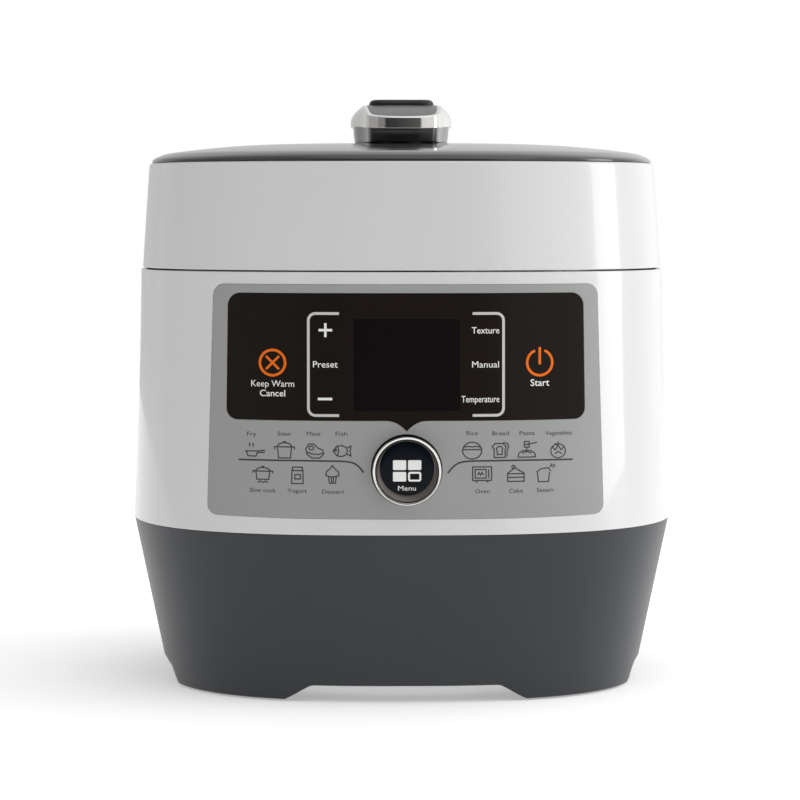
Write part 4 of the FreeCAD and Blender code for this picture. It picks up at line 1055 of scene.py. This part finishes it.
rings = []
verts, faces = [], []
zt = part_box("vent_button")[1].z * 1000
for ins, z in [(0.3, 326.0), (0.0, 326.3), (0.0, zt - 2.7), (0.10, zt - 2.0), (0.42, zt - 1.3), (0.95, zt - 0.7), (1.7, zt - 0.28), (2.6, zt - 0.06), (3.6, zt)]:
    lp = inset(btn, ins) if ins else btn
    s = len(verts)
    verts += [(p[0], p[1], z) for p in lp]
    rings.append(list(range(s, s + len(lp))))
for a, b in zip(rings, rings[1:]):
    for i in range(len(a)):
        j = (i + 1) % len(a)
        faces.append((a[i], a[j], b[j], b[i]))
for ring in (rings[0], rings[-1]):
    c = [sum(verts[i][k] for i in ring) / len(ring) for k in range(3)]
    verts.append(tuple(c))
    q = len(verts) - 1
    for i in range(len(ring)):
        faces.append((ring[i], ring[(i + 1) % len(ring)], q))
build("vent_button_cap", verts, faces, HINS, "vent_button", "vent_button", angle=40)
build("vent_button_stem", *rod_data(5.0, "z", 0.0, 0.0, 312.5, 326.1, 48), INNER, "vent_button", slot="handle_black", angle=40)

# Coil springs: copies of the CAD coils in spring material, carried on the body that holds them.
for node, body, joint, z0, keep in (("vent_spring", "lock_rotor", "vent_button_press", 0.3181, 0.60), ("sensor_spring", "base", "sensor_plunge", 0.0345, 0.89)):
    coil = bpy.data.objects.new(node + "_coil", frame["nodes"][node].data.copy())
    scene_root = bpy.context.scene.collection
    scene_root.objects.link(coil)
    coil.matrix_world = frame["nodes"][node].matrix_world.copy()
    coil.data.shade_smooth()
    coil.data.set_sharp_from_angle(angle=math.radians(28))
    coil.data.materials.clear()
    coil.data.materials.append(SPRING)
    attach(coil, body)
    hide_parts(node)
    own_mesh(coil)

# --------------------------------------------------------------- carried over
for node, ob in frame["nodes"].items():
    ob.data.shade_smooth()
    ob.data.set_sharp_from_angle(angle=math.radians(28))

# ------------------------------------------------------------ floor and light
scene = bpy.context.scene
fm, nt, p = new_mat("floor_pale")
p.inputs["Roughness"].default_value = 0.9
p.inputs["Specular IOR Level"].default_value = 0.1
p.inputs["Emission Color"].default_value = (1, 1, 1, 1)
p.inputs["Emission Strength"].default_value = 0.36
tc = add(nt, "ShaderNodeTexCoord")
fn = add(nt, "ShaderNodeTexNoise")
fn.inputs["Scale"].default_value = 3.0
nt.links.new(tc.outputs["Object"], fn.inputs["Vector"])
ramp = add(nt, "ShaderNodeValToRGB")
ramp.color_ramp.elements[0].color = (0.92, 0.92, 0.92, 1)
ramp.color_ramp.elements[1].color = (0.95, 0.95, 0.95, 1)
nt.links.new(fn.outputs["Fac"], ramp.inputs["Fac"])
nt.links.new(ramp.outputs["Color"], p.inputs["Base Color"])
me = bpy.data.meshes.new("floor")
R = 3.2
me.from_pydata([(R * math.cos(2 * math.pi * i / 96), R * math.sin(2 * math.pi * i / 96), 0) for i in range(96)], [], [tuple(range(96))])
fl = bpy.data.objects.new("floor", me)
me.materials.append(fm)
scene.collection.objects.link(fl)

# White room: a broad pale panel on the left, a dim patch in front where the room is open.
world = bpy.data.worlds.new("studio")
scene.world = world
world.use_nodes = True
nt = world.node_tree
bg = nt.nodes["Background"]
bg.inputs["Color"].default_value = (1, 1, 1, 1)


def mth(op, a, b=None, c=None):
    nd = add(nt, "ShaderNodeMath", operation=op)
    for k, v in enumerate((a, b, c)):
        if v is None:
            continue
        if isinstance(v, (int, float)):
            nd.inputs[k].default_value = v
        else:
            nt.links.new(v, nd.inputs[k])
    return nd.outputs[0]


def ramp01(x, lo, hi):
    nd = add(nt, "ShaderNodeMapRange", interpolation_type="SMOOTHSTEP")
    nt.links.new(x, nd.inputs["Value"])
    nd.inputs["From Min"].default_value = lo
    nd.inputs["From Max"].default_value = hi
    return nd.outputs["Result"]


tc = add(nt, "ShaderNodeTexCoord")
sep = add(nt, "ShaderNodeSeparateXYZ")
nt.links.new(tc.outputs["Generated"], sep.inputs["Vector"])
dx, dy, dzz = sep.outputs["X"], sep.outputs["Y"], sep.outputs["Z"]
hyp = mth("SQRT", mth("ADD", mth("MULTIPLY", dx, dx), mth("MULTIPLY", dy, dy)))
left = mth("MULTIPLY", ramp01(mth("DIVIDE", mth("MULTIPLY", dx, -1.0), mth("MAXIMUM", hyp, 0.001)), 0.645, 0.665), ramp01(mth("MULTIPLY", mth("ABSOLUTE", dzz), -1.0), -0.75, -0.6))
frontal = ramp01(mth("MULTIPLY", dy, -1.0), 0.90, 0.945)
over = ramp01(dzz, 0.30, 0.62)
back = ramp01(dy, 0.35, 0.95)
right = ramp01(dx, -0.35, 0.65)


def total(start, *pairs):
    t = start
    for src, k in pairs:
        t = mth("ADD", t, mth("MULTIPLY", src, k))
    return t


power = mth("MULTIPLY", total(0.255, (over, 0.22), (right, 0.60), (left, 0.13), (back, 0.29)), mth("SUBTRACT", 1.0, mth("MULTIPLY", frontal, 0.85)))
lp = add(nt, "ShaderNodeLightPath")
seen = mth("ADD", mth("MULTIPLY", power, mth("SUBTRACT", 1.0, lp.outputs["Is Camera Ray"])), lp.outputs["Is Camera Ray"])
nt.links.new(seen, bg.inputs["Strength"])


def area(name, loc, target, sx, sy, power, color=(1, 1, 1)):
    la = bpy.data.lights.new(name, "AREA")
    la.shape = "RECTANGLE"
    la.size, la.size_y = sx, sy
    la.energy = power
    la.color = color
    ob = bpy.data.objects.new(name, la)
    ob.location = loc
    d = Vector(target) - Vector(loc)
    ob.rotation_euler = d.to_track_quat("-Z", "Y").to_euler()
    scene.collection.objects.link(ob)
    return ob


area("key_right", (2.2, -0.12, 0.8), (0, 0, 0.15), 0.9, 1.5, 12.0)
area("top_soft", (0.3, -0.9, 2.0), (0, 0, 0.2), 1.6, 1.6, 4.0)

# ---------------------------------------------------------------------- camera
D, FPX, ZH, PITCH, AZ, CX = 1.900, 3246.75, 0.26915, 0.0583, -0.0205, 400.88
cam_data = bpy.data.cameras.new("camera")
cam = bpy.data.objects.new("camera", cam_data)
scene.collection.objects.link(cam)
cam_data.sensor_width = 36.0
cam_data.lens = FPX * 36.0 / 800.0
cam_data.shift_x = -(CX - 400.0) / 800.0
cam_data.clip_start, cam_data.clip_end = 0.05, 200.0
cam.location = (D * math.sin(AZ), -D * math.cos(AZ) + SY / 1000.0, ZH)
cam.rotation_euler = (math.pi / 2 - PITCH, 0.0, AZ)
scene.camera = cam
scene.view_settings.view_transform = "Standard"
scene.view_settings.look = "None"
